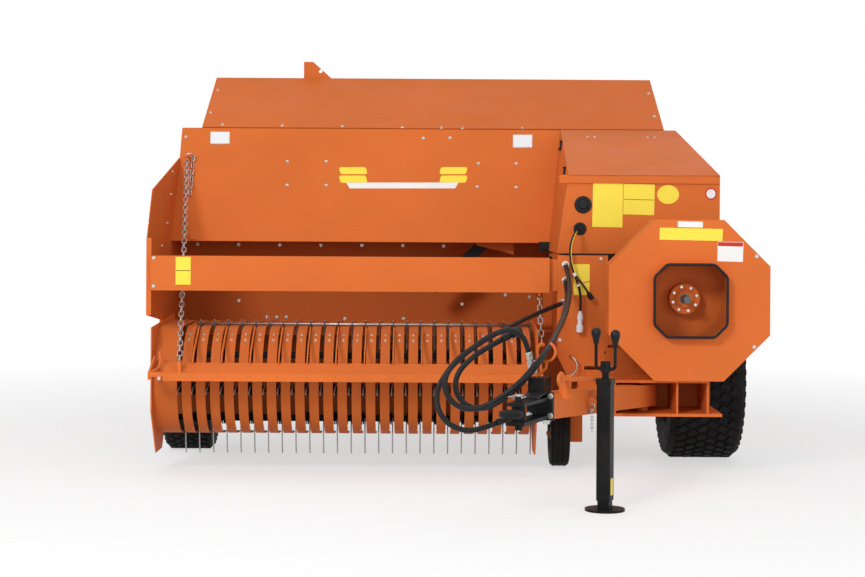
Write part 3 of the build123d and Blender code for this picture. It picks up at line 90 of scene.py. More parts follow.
HEAD_FOOT_Z = DRAWBAR_FOOT_Z + DRAWBAR_RISE * HEAD_ALONG
HEAD_BOX_TOP_Z = HEAD_FOOT_Z + 162
HOOK_Z = HEAD_BOX_TOP_Z + 99
HOOK_ALONG = HEAD_ALONG - 57
HOOK_RADIUS = 38.0
TOW_PIN_ALONG = HEAD_ALONG + 259
JACK_ALONG = 953.0
JACK_X = 120.0
JACK_TOP_Z = 530.0
JACK_HALF = 30.0
JACK_WALL = 4.0
JACK_PIN_X = 74.0
HOSE_DIAMETER = 22.0
LEAD_DIAMETER = 12.0
BRANCH_DIAMETER = 10.0

# Tyres: node, body, centre x, centre y, radius, width, rim radius, depth of the tread's grooves
TYRES = (
    ("right_wheel_tyre", "right_wheel", 1363.0, 580.0, 425.0, 372.0, 216.0, 10),
    ("left_wheel_tyre", "left_wheel", -1252.0, 800.0, 297.0, 248.0, 152.0, 8),
    ("gauge_wheel_tyre", "gauge_wheel", 627.0, 215.0, 158.0, 96.0, 62.0, 5),
)
# Block tread: lugs around it, radius of the nut circle, and the wheel's outer side
TREADS = {"right_wheel": (46, 84, 1), "left_wheel": (36, 76, -1)}
WHEEL_NUTS = 6
# Ribs of the gauge wheel, from and to a share of its half width
GAUGE_RIBS = ((-0.70, -0.30), (-0.20, 0.20), (0.30, 0.70))
# Side of a tyre: share of its half width, and share of its wall above the rim or below the tread's floor
TYRE_SIDE = ((0.80, 0.06), (0.80, 0.10), (0.90, 0.18), (0.965, 0.32), (0.99, 0.42), (1.0, 0.50),
             (0.995, 0.52), (0.995, 0.56), (1.0, 0.58), (0.99, 0.70))
TYRE_SHOULDER = ((0.97, 0.14), (0.93, 0.06), (0.86, 0.012), (0.80, 0.0))

# Hoses: centre line through these points
HOSE_ROUTES = {
    "hose_upper": [
        (639, -52, 985), (645, -130, 947), (640, -290, 895), (618, -520, 846), (589, -760, 807),
        (553, -1000, 774), (511, -1240, 739), (469, -1449, 701), (416, -1560, 652), (351, -1595, 580),
        (268, -1605, 514), (186, -1610, 473), (112, -1612, 476), (57, -1610, 525), (49, -1600, 598),
        (96, -1580, 663), (164, -1555, 711), (224, -1530, 753), (288, -1508, 778), (339, -1490, 775),
        (375, -1476, 736), (387, -1469, 688)],
    "hose_middle": [
        (637, -52, 911), (638, -140, 874), (624, -320, 836), (598, -560, 800), (564, -810, 766),
        (522, -1070, 731), (481, -1290, 697), (453, -1449, 677), (405, -1520, 621), (338, -1535, 548),
        (271, -1540, 495), (204, -1543, 465), (136, -1538, 478), (93, -1525, 532), (99, -1507, 602),
        (153, -1487, 660), (218, -1467, 703), (282, -1450, 736)],
    "hose_lower": [
        (618, -52, 810), (554, -160, 794), (438, -380, 760), (321, -680, 726), (211, -980, 691),
        (122, -1230, 647), (57, -1390, 595), (20, -1480, 531), (24, -1515, 463), (61, -1530, 408),
        (127, -1533, 379), (196, -1528, 384), (260, -1520, 410)],
}

# Turned profiles: distance along the axis and radius
COUPLER = ((0, 0), (0, 12.5), (2, 14), (30, 14), (32, 12), (40, 12), (40.5, 17.5), (56, 17.5), (56.5, 16.5),
           (60, 16.5), (60.5, 18.5), (78, 18.5), (79, 15), (88.5, 15), (89.5, 11), (89.5, 0))
TINE_CLAMP = ((0, 16.5), (0, 24), (18, 24), (18, 16.5), (0, 16.5))
STOP_BOLT = ((0, 0), (0, 8), (0.5, 9), (11.5, 9), (12, 8), (12, 0))
PLUG = ((0, 0), (0, 42), (4, 42), (7, 39), (8, 34), (8, 30), (5, 28), (5, 24), (12, 22), (15, 17), (15, 10),
        (13, 8), (13, 0))
GROMMET = ((0, 0), (0, 31), (5, 31), (8, 27), (8, 21), (3, 17), (3, 0))
RIM_FACE = ((0, 180), (1.5, 180), (1.5, 249.5), (0, 249.5), (0, 180))
FLANGE_BOSS = ((0, 20), (0, 47), (4, 47), (6, 45), (6, 40), (12, 37), (12, 20), (0, 20))
JACK_GEAR = ((0, 0), (0, 15), (28, 15), (28, 19), (30, 21.5), (70, 21.5), (74, 18), (74, 0))
JACK_SHAFT = ((-38, 0), (-38, 6), (38, 6), (38, 0))
JACK_KNOB = ((0, 0), (0, 9), (3, 10.5), (16, 13), (30, 17), (42, 20), (52, 20.5), (60, 18), (66, 13), (69, 7),
             (70, 0))
TOW_PIN = ((0, 0), (0, 16.5), (6, 17.5), (10, 16.5), (12, 12), (12, 0))
HEAD_NUT = ((0, 0), (0, 13), (14, 13), (14, 8), (24, 8), (24, 0))
LOCK_PIN = ((0, 0), (0, 7), (12, 7), (12, 0))
FILLER = ((-2, 0), (-2, 70), (10, 70), (13, 66), (13, 20), (22, 18), (22, 0))
LEAD_PLUG = ((0, 0), (0, 8), (12, 9), (14, 13), (40, 14.5), (42, 11), (66, 12), (68, 17), (100, 16.5),
             (102, 12), (102, 0))
BRANCH_PLUG = ((0, 0), (0, 7), (8, 9), (10, 12), (34, 13), (36, 10), (42, 10), (42, 0))

flange_low, flange_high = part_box("flywheel")
SHIFT = Vector((SHAFT[0] * MM - (flange_low.x + flange_high.x) / 2, FLANGE_FACE_Y * MM - flange_low.y, 0.0))


def at(x, y, z):
    """A place on the machine, from mm to the shared frame."""
    return Vector((x * MM, y * MM, z * MM)) - SHIFT


def turns(count, offset=0.0):
    """Angles of places set evenly round a circle."""
    return [2 * pi * (k + offset) / count for k in range(count)]


def linked(name, data):
    thing = bpy.data.objects.new(name, data)
    bpy.context.collection.objects.link(thing)
    return thing


def add_node(tree, kind, inputs, **settings):
    """Adds a node, each of its inputs a value or the output that feeds it, and gives its outputs."""
    node = tree.nodes.new(kind)
    for label, value in settings.items():
        setattr(node, label, value)
    for label, value in inputs.items():
        if isinstance(value, bpy.types.NodeSocket):
            tree.links.new(value, node.inputs[label])
        else:
            node.inputs[label].default_value = value
    return node.outputs


# Camera of the photograph: 865 x 577, level, with the horizon above the middle
PHOTO_WIDTH = 865.0
FOCAL_PIXELS = 1823.0
CENTRE_PIXEL = (432.5, 288.5)
HORIZON_PIXEL = 210.0
CAMERA_ROLL = 0.006
CAMERA_PLACE = (0.0, -8750.0, 1252.8)


def make_camera():
    data = bpy.data.cameras.new("photo_camera")
    data.sensor_width = 36.0
    data.lens = FOCAL_PIXELS / PHOTO_WIDTH * data.sensor_width
    data.shift_y = (HORIZON_PIXEL - CENTRE_PIXEL[1]) / PHOTO_WIDTH
    data.clip_end = 200.0
    camera = linked("photo_camera", data)
    camera.matrix_world = (Matrix.Translation(at(*CAMERA_PLACE)) @ Matrix.Rotation(radians(90), 4, "X")
                           @ Matrix.Rotation(CAMERA_ROLL, 4, "Z"))
    bpy.context.scene.camera = camera


make_camera()


# Materials


def opaque(colour):
    """A colour with its alpha, or the output of another mix as it is."""
    return (*colour, 1.0) if isinstance(colour, tuple) else colour


def shade(colour, amount):
    return tuple(min(1.0, channel * amount) for channel in colour)


class Finish:
    """A node material on Object coordinates, with helpers for its layers."""

    def __init__(self, name, metallic=0.0, specular=0.5):
        self.material = bpy.data.materials.new(name)
        self.material.use_nodes = True
        self.tree = self.material.node_tree
        self.shader = self.tree.nodes["Principled BSDF"].inputs
        self.shader["Metallic"].default_value = metallic
        self.shader["Specular IOR Level"].default_value = specular
        self.place = add_node(self.tree, "ShaderNodeTexCoord", {})["Object"]

    def noise(self, scale, detail=4.0, roughness=0.55, stretch=None):
        place = self.place
        if stretch:
            place = add_node(self.tree, "ShaderNodeMapping", {"Scale": stretch, "Vector": place})["Vector"]
        return add_node(self.tree, "ShaderNodeTexNoise", {"Scale": scale, "Detail": detail, "Vector": place,
                                                          "Roughness": roughness})["Fac"]

    def spread(self, value, low, high, start=0.3, end=0.7):
        """A noise value brought into a range."""
        return add_node(self.tree, "ShaderNodeMapRange", {"From Min": start, "From Max": end, "To Min": low,
                                                          "To Max": high, "Value": value})["Result"]

    def mix(self, factor, first, second):
        """Two colours, or a colour over what another mix gives."""
        layers = {"Factor": factor, "A": opaque(first), "B": opaque(second)}
        return add_node(self.tree, "ShaderNodeMix", layers, data_type="RGBA")["Result"]

    def dress(self, colour, roughness, bump, strength, distance):
        """Wires the layers into the shader and gives the material."""
        normal = add_node(self.tree, "ShaderNodeBump", {"Strength": strength, "Distance": distance,
                                                        "Height": bump})["Normal"]
        for label, layer in (("Base Color", colour), ("Roughness", roughness), ("Normal", normal)):
            self.tree.links.new(layer, self.shader[label])
        return self.material


def paint(name, colour, roughness=0.50, dust=(0.42, 0.22, 0.1), dust_amount=0.07):
    """Sprayed enamel: slow drift of colour, faint dust, and orange peel in the gloss."""
    finish = Finish(name, specular=0.07)
    broad = finish.spread(finish.noise(1.6, 3.0), 0.0, 1.0)
    drift = finish.mix(broad, shade(colour, 0.93), shade(colour, 1.05))
    dusty = finish.spread(finish.noise(7.0, 6.0, 0.65), 0.0, dust_amount, 0.45, 0.8)
    gloss = finish.spread(finish.noise(5.0, 3.0), roughness - 0.05, roughness + 0.08)
    return finish.dress(finish.mix(dusty, drift, dust), gloss, finish.noise(220.0, 2.0), 0.10, 0.0004)


def bare_metal(name, colour, roughness, grain=(1.0, 1.0, 1.0), scale=60.0):
    """Plated or worn steel with a faint grain."""
    finish = Finish(name, metallic=1.0)
    worn = finish.mix(finish.spread(finish.noise(scale * 0.2, 4.0), 0.0, 1.0), shade(colour, 0.8), colour)
    gloss = finish.spread(finish.noise(scale, 5.0, 0.6, grain), roughness - 0.08, roughness + 0.12)
    return finish.dress(worn, gloss, finish.noise(scale * 6, 3.0, 0.6, grain), 0.12, 0.0003)


def rubber(name, colour, roughness, dust, dust_amount, scale):
    """Moulded rubber or plastic with a dry bloom."""
    finish = Finish(name, specular=0.18)
    bloom = finish.spread(finish.noise(scale * 0.3, 6.0, 0.65), 0.0, dust_amount, 0.4, 0.8)
    gloss = finish.spread(finish.noise(scale, 4.0), roughness - 0.08, roughness + 0.12)
    return finish.dress(finish.mix(bloom, colour, dust), gloss, finish.noise(scale * 12, 3.0), 0.18, 0.0005)


def film(name, colour, roughness=0.3):
    """Smooth vinyl film on a sheet, or clear plastic."""
    finish = Finish(name, specular=0.2)
    tone = finish.mix(finish.spread(finish.noise(6.0, 3.0), 0.0, 1.0), shade(colour, 0.94), colour)
    gloss = finish.spread(finish.noise(20.0, 3.0), roughness - 0.04, roughness + 0.08)
    return finish.dress(tone, gloss, finish.noise(160.0, 2.0), 0.04, 0.0002)


ORANGE = (0.66, 0.152, 0.032)
ORANGE_PAINT = paint("orange_enamel", ORANGE)
# Darker copy of the orange paint for inner and rear faces: painted shade, the paint itself is the same.
ORANGE_IN_PAINTED_SHADE = paint("orange_enamel_inside", shade(ORANGE, 0.8))
# Much darker copy of the orange for the reel core and the apron behind the reel: painted shade.
ORANGE_IN_DEEP_PAINTED_SHADE = paint("orange_enamel_below", shade(ORANGE, 0.38))
BLACK_PAINT = paint("black_enamel", (0.012, 0.012, 0.013), 0.34, (0.07, 0.06, 0.05), 0.25)
RIM_PAINT = paint("rim_enamel", (0.62, 0.6, 0.56), 0.4, (0.3, 0.25, 0.2), 0.2)
CASTING = paint("grey_casting", (0.11, 0.11, 0.115), 0.5, (0.16, 0.13, 0.1), 0.3)
ZINC = bare_metal("zinc_plate", (0.62, 0.61, 0.58), 0.34)
SPRING_STEEL = bare_metal("spring_steel", (0.42, 0.40, 0.38), 0.38, scale=80.0)
# Galvanised chain steel, made darker than the zinc plate as painted shade.
CHAIN_ZINC_IN_PAINTED_SHADE = bare_metal("chain_steel", (0.5, 0.49, 0.47), 0.36, scale=120.0)
OILED_STEEL = bare_metal("oiled_spline", (0.10, 0.10, 0.10), 0.3, (8.0, 1.0, 8.0), 50.0)
TYRE_RUBBER = rubber("tyre_rubber", (0.008, 0.007, 0.007), 0.75, (0.03, 0.026, 0.024), 0.35, 14.0)
HOSE_RUBBER = rubber("hose_rubber", (0.009, 0.009, 0.010), 0.42, (0.03, 0.028, 0.026), 0.3, 60.0)
TRIM_RUBBER = rubber("trim_rubber", (0.012, 0.012, 0.013), 0.5, (0.04, 0.036, 0.033), 0.25, 60.0)
BLACK_PLASTIC = rubber("black_plastic", (0.010, 0.010, 0.011), 0.32, (0.03, 0.03, 0.03), 0.15, 40.0)
CLEAR_PLASTIC = film("milky_connector", (0.72, 0.73, 0.74), 0.25)
YELLOW_FILM = film("yellow_film", (0.93, 0.72, 0.065))
WHITE_FILM = film("white_film", (0.82, 0.82, 0.80))
RED_FILM = film("red_film", (0.55, 0.03, 0.02))
REFLECTOR = film("white_reflector", (0.80, 0.82, 0.84), 0.12)

# Reel core, bands, crop deck, bulkhead and packer rail take darker copies of the orange as painted shade.
NODE_FINISH = {
    "gearbox": CASTING, "plunger": CASTING, "knotters": CASTING, "needle_yoke": CASTING,
    "tension_screws": ZINC, "hose_fittings": ZINC, "hitch_clevis": BLACK_PAINT, "jack_body": BLACK_PAINT,
    "jack_leg": BLACK_PAINT, "packer_tines": BLACK_PAINT, "tow_eye": BLACK_PAINT, "packer_rail": ORANGE_IN_PAINTED_SHADE,
    "chain_left": CHAIN_ZINC_IN_PAINTED_SHADE, "chain_right": CHAIN_ZINC_IN_PAINTED_SHADE, "input_shaft": OILED_STEEL,
    "tine_bars": SPRING_STEEL, "right_wheel_rim": RIM_PAINT, "left_wheel_rim": RIM_PAINT,
    "gauge_wheel_rim": RIM_PAINT, "reel_core": ORANGE_IN_DEEP_PAINTED_SHADE, "stripper_bands": ORANGE_IN_PAINTED_SHADE,
    "crop_deck": ORANGE_IN_PAINTED_SHADE, "bulkhead": ORANGE_IN_PAINTED_SHADE,
}


def dress_nodes():
    """Gives each carried-over piece its finish."""
    for name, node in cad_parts.items():
        node.data.materials.clear()
        node.data.materials.append(NODE_FINISH.get(name, ORANGE_PAINT))


dress_nodes()


# Mesh helpers: lines and corners are places in the frame, and sizes are in mm


def mesh_of(build):
    """A mesh from a bmesh, with its faces outwards."""
    bmesh.ops.remove_doubles(build, verts=build.verts, dist=1e-6)
    bmesh.ops.recalc_face_normals(build, faces=build.faces)
    mesh = bpy.data.meshes.new("piece")
    build.to_mesh(mesh)
    build.free()
    return mesh


def new_piece(name, shape, finish, body="chassis", smooth=False):
    """Links a mesh, or what a bmesh holds, as a piece that rides on a body."""
    mesh = mesh_of(shape) if isinstance(shape, bmesh.types.BMesh) else shape
    piece = linked(name, mesh)
    mesh.materials.clear()
    mesh.materials.append(finish)
    mesh.polygons.foreach_set("use_smooth", [smooth] * len(mesh.polygons))
    if body:
        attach(piece, body)
    return piece


def soften(build, width):
    """Rounds the sharp edges of a bmesh."""
    sharp = [edge for edge in build.edges
             if len(edge.link_faces) == 2 and edge.calc_face_angle(0.0) > radians(30)]
    bmesh.ops.bevel(build, geom=sharp, offset=width * MM, segments=2, affect="EDGES", profile=0.5,
                    clamp_overlap=True)


def join_rings(build, rings):
    """Adds the faces between rings of vertices, where a ring may be a single vertex."""
    for first, second in zip(rings, rings[1:]):
        count = max(len(first), len(second))
        for k in range(count):
            after = (k + 1) % count
            corners = (first[k % len(first)], first[after % len(first)],
                       second[after % len(second)], second[k % len(second)])
            corners = list(dict.fromkeys(corners))
            if len(corners) > 2:
                build.faces.new(corners)


def facing_frame(facing, up=UP):
    """Axes on a face: right, up and out."""
    out = facing.normalized()
    right = up.cross(out)
    right = RIGHT.copy() if right.length < 1e-4 else right.normalized()
    return right, out.cross(right).normalized(), out


def plate_on(build, corners, facing, thickness, sink=0.0):
    """Adds a plate with these corners that stands proud of its face."""
    out = facing.normalized()
    low = [build.verts.new(corner - out * sink * MM) for corner in corners]
    high = [build.verts.new(corner + out * thickness * MM) for corner in corners]
    build.faces.new(low[::-1])
    build.faces.new(high)
    join_rings(build, [low, high])


def add_box(build, low, high):
    """Adds a block between two of the machine's places."""
    sides = ((low[0], low[1]), (high[0], low[1]), (high[0], high[1]), (low[0], high[1]))
    plate_on(build, [at(x, y, low[2]) for x, y in sides], UP, high[2] - low[2])


def turned(build, profile, start, axis, sides=32):
    """Adds a turned form: a profile of (distance along the axis, radius) about an axis from start."""
    right, up, out = facing_frame(axis, UP if abs(axis.normalized().z) < 0.9 else RIGHT)
    rings = []
    for along, radius in profile:
        centre = start + out * along * MM
        rings.append([build.verts.new(centre + (right * cos(turn) + up * sin(turn)) * radius * MM)
                      for turn in turns(sides if radius else 1)])
    join_rings(build, rings)


def swept_tube(build, line, radius, sides=12, closed=False):
    """Adds a round tube along a line of points, with a frame that turns no more than the line does."""
    count = len(line)
    if closed:
        ends = [(i - 1, (i + 1) % count) for i in range(count)]
    else:
        ends = [(max(i - 1, 0), min(i + 1, count - 1)) for i in range(count)]
    tangents = [(line[after] - line[before]).normalized() for before, after in ends]
    normal = tangents[0].orthogonal().normalized()
    rings = []
    for place, tangent in zip(line, tangents):
        normal = (normal - tangent * normal.dot(tangent)).normalized()
        across = tangent.cross(normal)
        rings.append([build.verts.new(place + (normal * cos(turn) + across * sin(turn)) * radius * MM)
                      for turn in turns(sides)])
    join_rings(build, rings)
    if closed:
        twist = min(range(sides), key=lambda k: (rings[0][k].co - rings[-1][0].co).length)
        join_rings(build, [rings[-1], rings[0][twist:] + rings[0][:twist]])
    else:
        build.faces.new(rings[0][::-1])
        build.faces.new(rings[-1])


def turned_piece(name, profile, start, axis, sides, finish, body="chassis"):
    build = bmesh.new()
    turned(build, profile, start, axis, sides)
    return new_piece(name, build, finish, body)


def tube_piece(name, line, radius, sides, finish, body="chassis", smooth=True, closed=False):
    build = bmesh.new()
    swept_tube(build, line, radius, sides, closed)
    return new_piece(name, build, finish, body, smooth)


def box_piece(name, finish, low, high, body="chassis", edge=1.5):
    """A block with softened edges."""
    build = bmesh.new()
    add_box(build, low, high)
    soften(build, edge)
    return new_piece(name, build, finish, body)


def rounded(corners, radius, steps=4):
    """Corners with their points rounded off."""
    line = []
    count = len(corners)
    for i, corner in enumerate(corners):
        before = corners[i - 1] - corner
        after = corners[(i + 1) % count] - corner
        cut = min(radius * MM, before.length / 2.05, after.length / 2.05)
        start, end = corner + before.normalized() * cut, corner + after.normalized() * cut
        for k in range(steps + 1):
            t = k / steps
            line.append(start * (1 - t) ** 2 + corner * 2 * t * (1 - t) + end * t ** 2)
    return line


def grown_mesh(holder):
    """The mesh that an object's curve or modifier makes. The object itself goes."""
    bpy.context.view_layer.update()
    mesh = bpy.data.meshes.new_from_object(holder.evaluated_get(bpy.context.evaluated_depsgraph_get()))
    holder.modifiers.clear()
    bpy.data.objects.remove(holder)
    return mesh


def nurbs_line(points, steps=10):
    """Points read from the smooth line that a route guides."""
    curve = bpy.data.curves.new("line", "CURVE")
    curve.dimensions = "3D"
    curve.resolution_u = steps
    spline = curve.splines.new("NURBS")
    spline.points.add(len(points) - 1)
    for control, point in zip(spline.points, points):
        control.co = (*point, 1.0)
    spline.order_u = 3
    spline.use_endpoint_u = True
    return [vertex.co.copy() for vertex in grown_mesh(linked("line", curve)).vertices]


def guided(route, steps, place=at):
    """The smooth line along a route of numbers that a function makes places of."""
    return nurbs_line([place(*numbers) for numbers in route], steps)


# Hoses, each with its coupler


def make_hoses():
    couplers = []
    for name, route in HOSE_ROUTES.items():
        points = [at(*point) for point in route]
        line = nurbs_line(points)
        hose = tube_piece(name + "_rubber", line, HOSE_DIAMETER / 2, 16, HOSE_RUBBER, None)
        coupler = turned_piece(name + "_coupler", COUPLER, line[-1], line[-1] - line[-2], 24,
                               ZINC if name == "hose_upper" else BLACK_PLASTIC, "drawbar")
        couplers.append(coupler)
        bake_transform(hose)
        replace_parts(hose, name)
    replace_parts(couplers[0], "hose_couplers")


make_hoses()


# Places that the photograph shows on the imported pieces
SURFACES = {}


def met(node, start, way):
    """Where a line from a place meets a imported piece, and the way the face there faces."""
    if node not in SURFACES:
        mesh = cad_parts[node].data
        corners = [vertex.co for vertex in mesh.vertices]
        SURFACES[node] = BVHTree.FromPolygons(corners, [tuple(face.vertices) for face in mesh.polygons])
    place, facing, _, _ = SURFACES[node].ray_cast(start, way.normalized())
    if place is None:
        raise ValueError(f"a line from {start} misses {node}")
    return place, facing


def sight(pixel_x, pixel_y):
    down = pixel_y - HORIZON_PIXEL - CAMERA_ROLL * (pixel_x - CENTRE_PIXEL[0])
    return Vector(((pixel_x - CENTRE_PIXEL[0]) / FOCAL_PIXELS, 1.0, -down / FOCAL_PIXELS))


def seen_on(node, pixel_x, pixel_y):
    """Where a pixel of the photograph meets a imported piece, and the way the face there faces."""
    return met(node, at(*CAMERA_PLACE), sight(pixel_x, pixel_y))


def seen_at(pixel_x, pixel_y, depth):
    """The place that a pixel shows at a depth behind the reel's axis."""
    return at(*(Vector(CAMERA_PLACE) + sight(pixel_x, pixel_y) * (depth - CAMERA_PLACE[1])))


# Repeated shapes, each grown by a geometry tree on a mesh of points


class ShapeTree:
    """A geometry tree that sets one shape on each point, turned and sized by the point's values."""

    def __init__(self, name, sizes):
        self.group = bpy.data.node_groups.new(name, "GeometryNodeTree")
        sockets = self.group.interface
        sockets.new_socket("Points", in_out="INPUT", socket_type="NodeSocketGeometry")
        for label, value in sizes.items():
            sockets.new_socket(label, in_out="INPUT", socket_type="NodeSocketFloat").default_value = value
        sockets.new_socket("Finish", in_out="INPUT", socket_type="NodeSocketMaterial")
        sockets.new_socket("Pieces", in_out="OUTPUT", socket_type="NodeSocketGeometry")
        self.given = self.group.nodes.new("NodeGroupInput").outputs

    def node(self, kind, inputs, output, **settings):
        return add_node(self.group, kind, inputs, **settings)[output]

    def times(self, value, factor):
        return self.node("ShaderNodeMath", {0: value, 1: factor}, "Value", operation="MULTIPLY")

    def cone(self, sides, radius, share, depth):
        """A cone cut off at its top, where the radius is a share of its foot's."""
        return self.node("GeometryNodeMeshCone", {"Vertices": sides, "Radius Bottom": radius, "Depth": depth,
                                                  "Radius Top": self.times(share, radius)}, "Mesh")

    def wire(self, curve, radius, sides):
        circle = self.node("GeometryNodeCurvePrimitiveCircle", {"Resolution": sides, "Radius": radius},
                           "Curve")
        return self.node("GeometryNodeCurveToMesh", {"Curve": curve, "Profile Curve": circle,
                                                     "Fill Caps": True}, "Mesh")

    def close(self, shape):
        facing, heading, size = (
            self.node("GeometryNodeInputNamedAttribute", {"Name": label}, "Attribute",
                      data_type="FLOAT_VECTOR")
            for label in ("facing", "heading", "size"))
        turn = self.node("FunctionNodeAxesToRotation", {0: facing, 1: heading}, "Rotation",
                         primary_axis="Z", secondary_axis="X")
        spread = self.node("GeometryNodeInstanceOnPoints", {"Points": self.given["Points"], "Instance": shape,
                                                            "Rotation": turn, "Scale": size}, "Instances")
        made = self.node("GeometryNodeRealizeInstances", {"Geometry": spread}, "Geometry")
        finished = self.node("GeometryNodeSetMaterial", {"Geometry": made, "Material": self.given["Finish"]},
                             "Geometry")
        add_node(self.group, "NodeGroupOutput", {"Pieces": finished})
        return self.group


def bolt_tree():
    """Flange bolt: a bevelled flange and a hexagon head."""
    tree = ShapeTree("flange_bolt", {"Flange Radius": 0.0095, "Head Radius": 0.0068, "Head Height": 0.0062})
    join = tree.group.nodes.new("GeometryNodeJoinGeometry")
    for shape in (tree.cone(14, tree.given["Flange Radius"], 0.82, 0.002),
                  tree.cone(6, tree.given["Head Radius"], 0.9, tree.given["Head Height"])):
        tree.group.links.new(shape, join.inputs["Geometry"])
    return tree.close(join.outputs["Geometry"])


def coil_tree():
    """Coil of a spring tine, wound along the bar."""
    tree = ShapeTree("tine_coil", {"Coil Radius": 0.0285, "Wire Radius": 0.0032, "Coil Length": 0.024})
    radius = tree.given["Coil Radius"]
    helix = tree.node("GeometryNodeCurveSpiral", {"Resolution": 14, "Rotations": 3.0, "Start Radius": radius,
                                                  "End Radius": radius, "Height": tree.given["Coil Length"]},
                      "Curve")
    return tree.close(tree.wire(helix, tree.given["Wire Radius"], 5))


def finger_tree():
    """Spring finger from its bar to its hooked tip: X is the way it leads, Z runs out of the reel."""
    tree = ShapeTree("tine_finger", {"Wire Radius": 0.0031})
    shank = tree.node("GeometryNodeCurvePrimitiveBezierSegment",
                      {"Resolution": 8, "Start": (0.017, 0.0, 0.150), "Start Handle": (0.026, 0.0, 0.205),
                       "End Handle": (0.022, 0.0, 0.275), "End": (-0.006, 0.0, 0.3185)}, "Curve")
    return tree.close(tree.wire(shank, tree.given["Wire Radius"], 6))


def link_tree():
    """Welded chain link: X along the chain, Z out of the link's flat."""
    tree = ShapeTree("chain_link", {"Link Length": 0.042, "Link Width": 0.021, "Wire Radius": 0.003})
    given = tree.given
    outline = tree.node("GeometryNodeCurvePrimitiveQuadrilateral",
                        {"Width": given["Link Length"], "Height": given["Link Width"]}, "Curve")
    bent = tree.node("GeometryNodeFilletCurve", {"Curve": outline, "Count": 4, "Limit Radius": True,
                                                 "Radius": tree.times(given["Link Width"], 0.499)},
                     "Curve", mode="POLY")
    return tree.close(tree.wire(bent, given["Wire Radius"], 6))


def lug_tree():
    """Tread block with sloping sides: X along the block, Y across, Z out of the tyre."""
    tree = ShapeTree("tread_block", {"Top Share": 0.84})
    block = tree.cone(4, 0.7071, tree.given["Top Share"], 1.0)
    square = {"Geometry": block, "Rotation": (0.0, 0.0, pi / 4)}
    return tree.close(tree.node("GeometryNodeTransform", square, "Geometry"))


BOLT = bolt_tree()
COIL = coil_tree()
FINGER = finger_tree()
LINK = link_tree()
LUG = lug_tree()
EVEN = (1.0, 1.0, 1.0)


def set_out(name, tree, rows, finish, body="chassis", smooth=False, slot=None, **sizes):
    """A mesh of the tree's shape on each row of place, facing, heading and size."""
    points = bpy.data.meshes.new(name + "_points")
    points.from_pydata([row[0] for row in rows], [], [])
    for column, label in enumerate(("facing", "heading", "size"), 1):
        values = points.attributes.new(label, "FLOAT_VECTOR", "POINT")
        values.data.foreach_set("vector", [part for row in rows for part in row[column]])
    holder = linked(name + "_points", points)
    grower = holder.modifiers.new(name, "NODES")
    grower.node_group = tree
    given = {"finish": finish, **sizes}
    for socket in tree.interface.items_tree:
        label = socket.name.replace(" ", "_").lower()
        if socket.in_out == "INPUT" and label in given:
            grower[socket.identifier] = given[label]
    return new_piece(name, grown_mesh(holder), finish, body, smooth)


def bolt_rows(places, size=1.0):
    """Rows for bolts on places that come with their facing."""
    tilted, flat = Vector((0.3, 0.2, 1.0)), Vector((1.0, 0.3, 0.0))
    return [(place, facing, tilted if abs(facing.z) < 0.9 else flat, (size, size, size))
            for place, facing in places]


def bolts(name, places, size, body="chassis"):
    return set_out(name, BOLT, bolt_rows(places, size), ZINC, body)


# Tyres


def tyre(name, body, x, y, radius, width, rim_radius, groove, ribs=()):
    """Carcass from bead to bead, with its tread floor a groove's depth below the crown."""
    half, floor, wall = width / 2, radius - groove, radius - rim_radius
    side = [(half * 0.70, rim_radius + 0.5)]
    side += [(half * across, rim_radius + wall * share) for across, share in TYRE_SIDE]
    side += [(half * across, floor - wall * share) for across, share in TYRE_SHOULDER]
    crown = []
    for low, high in ribs:
        crown += [(half * low, floor), (half * low, radius), (half * high, radius), (half * high, floor)]
    left = [(-across, out) for across, out in side]
    return turned_piece(name, left + crown + side[::-1] + left[:1], at(x, y, radius), RIGHT, 72, TYRE_RUBBER,
                        body)


def tread_rows(x, y, radius, width, groove, around):
    """Chevrons of blocks in six rows, and a lug on each shoulder."""
    rows = []
    across = width / 2 * 0.80 / 3
    floor = radius - groove - 1
    pitch = 2 * pi * radius / around * MM
    for k in range(around):
        for row in range(6):
            turn = 2 * pi * (k + 0.5 * (row % 2)) / around
            out = Vector((0.0, sin(turn), cos(turn)))
            ahead = Vector((0.0, cos(turn), -sin(turn)))
            lean = radians(32 if row < 3 else -32)
            rows.append((at(x + (row - 2.5) * across, y, radius) + out * floor * MM, out,
                         RIGHT * cos(lean) + ahead * sin(lean),
                         (across * 1.02 * MM, pitch * 0.60, (groove + 1) * MM)))
        turn = 2 * pi * (k + 0.25) / around
        radial = Vector((0.0, sin(turn), cos(turn)))
        for side in (-1, 1):
            rows.append((at(x + side * width / 2 * 0.875, y, radius) + radial * (floor - groove * 1.5) * MM,
                         side * 0.55 * RIGHT + radial * 0.835, side * 0.835 * RIGHT - radial * 0.55,
                         (width * 0.10 * MM, pitch * 0.52, groove * 0.9 * MM)))
    return rows


def make_tyres():
    for node, body, x, y, radius, width, rim_radius, groove in TYRES:
        if body not in TREADS:
            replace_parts(tyre("gauge_tyre", body, x, y, radius, width, rim_radius, groove, GAUGE_RIBS), node)
            continue
        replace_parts(tyre(body + "_carcass", body, x, y, radius, width, rim_radius, groove), node)
        around, spoke, side = TREADS[body]
        set_out(body + "_tread", LUG, tread_rows(x, y, radius, width, groove, around), TYRE_RUBBER, body)
        disc = x - side * width / 2 * 0.72 * 0.2 + side * 5
        nuts = [(at(disc, y + spoke * sin(turn), radius + spoke * cos(turn)), side * RIGHT)
                for turn in turns(WHEEL_NUTS)]
        bolts(body + "_nuts", nuts, 1.5, body)


make_tyres()


# Pickup: bars, coils and fingers of the reel, bands, and the guard in front of them


def on_reel(turn, out, x):
    """A place on the turned reel, out from its axis."""
    return at(x, -out * sin(turn), REEL_Z + out * cos(turn))


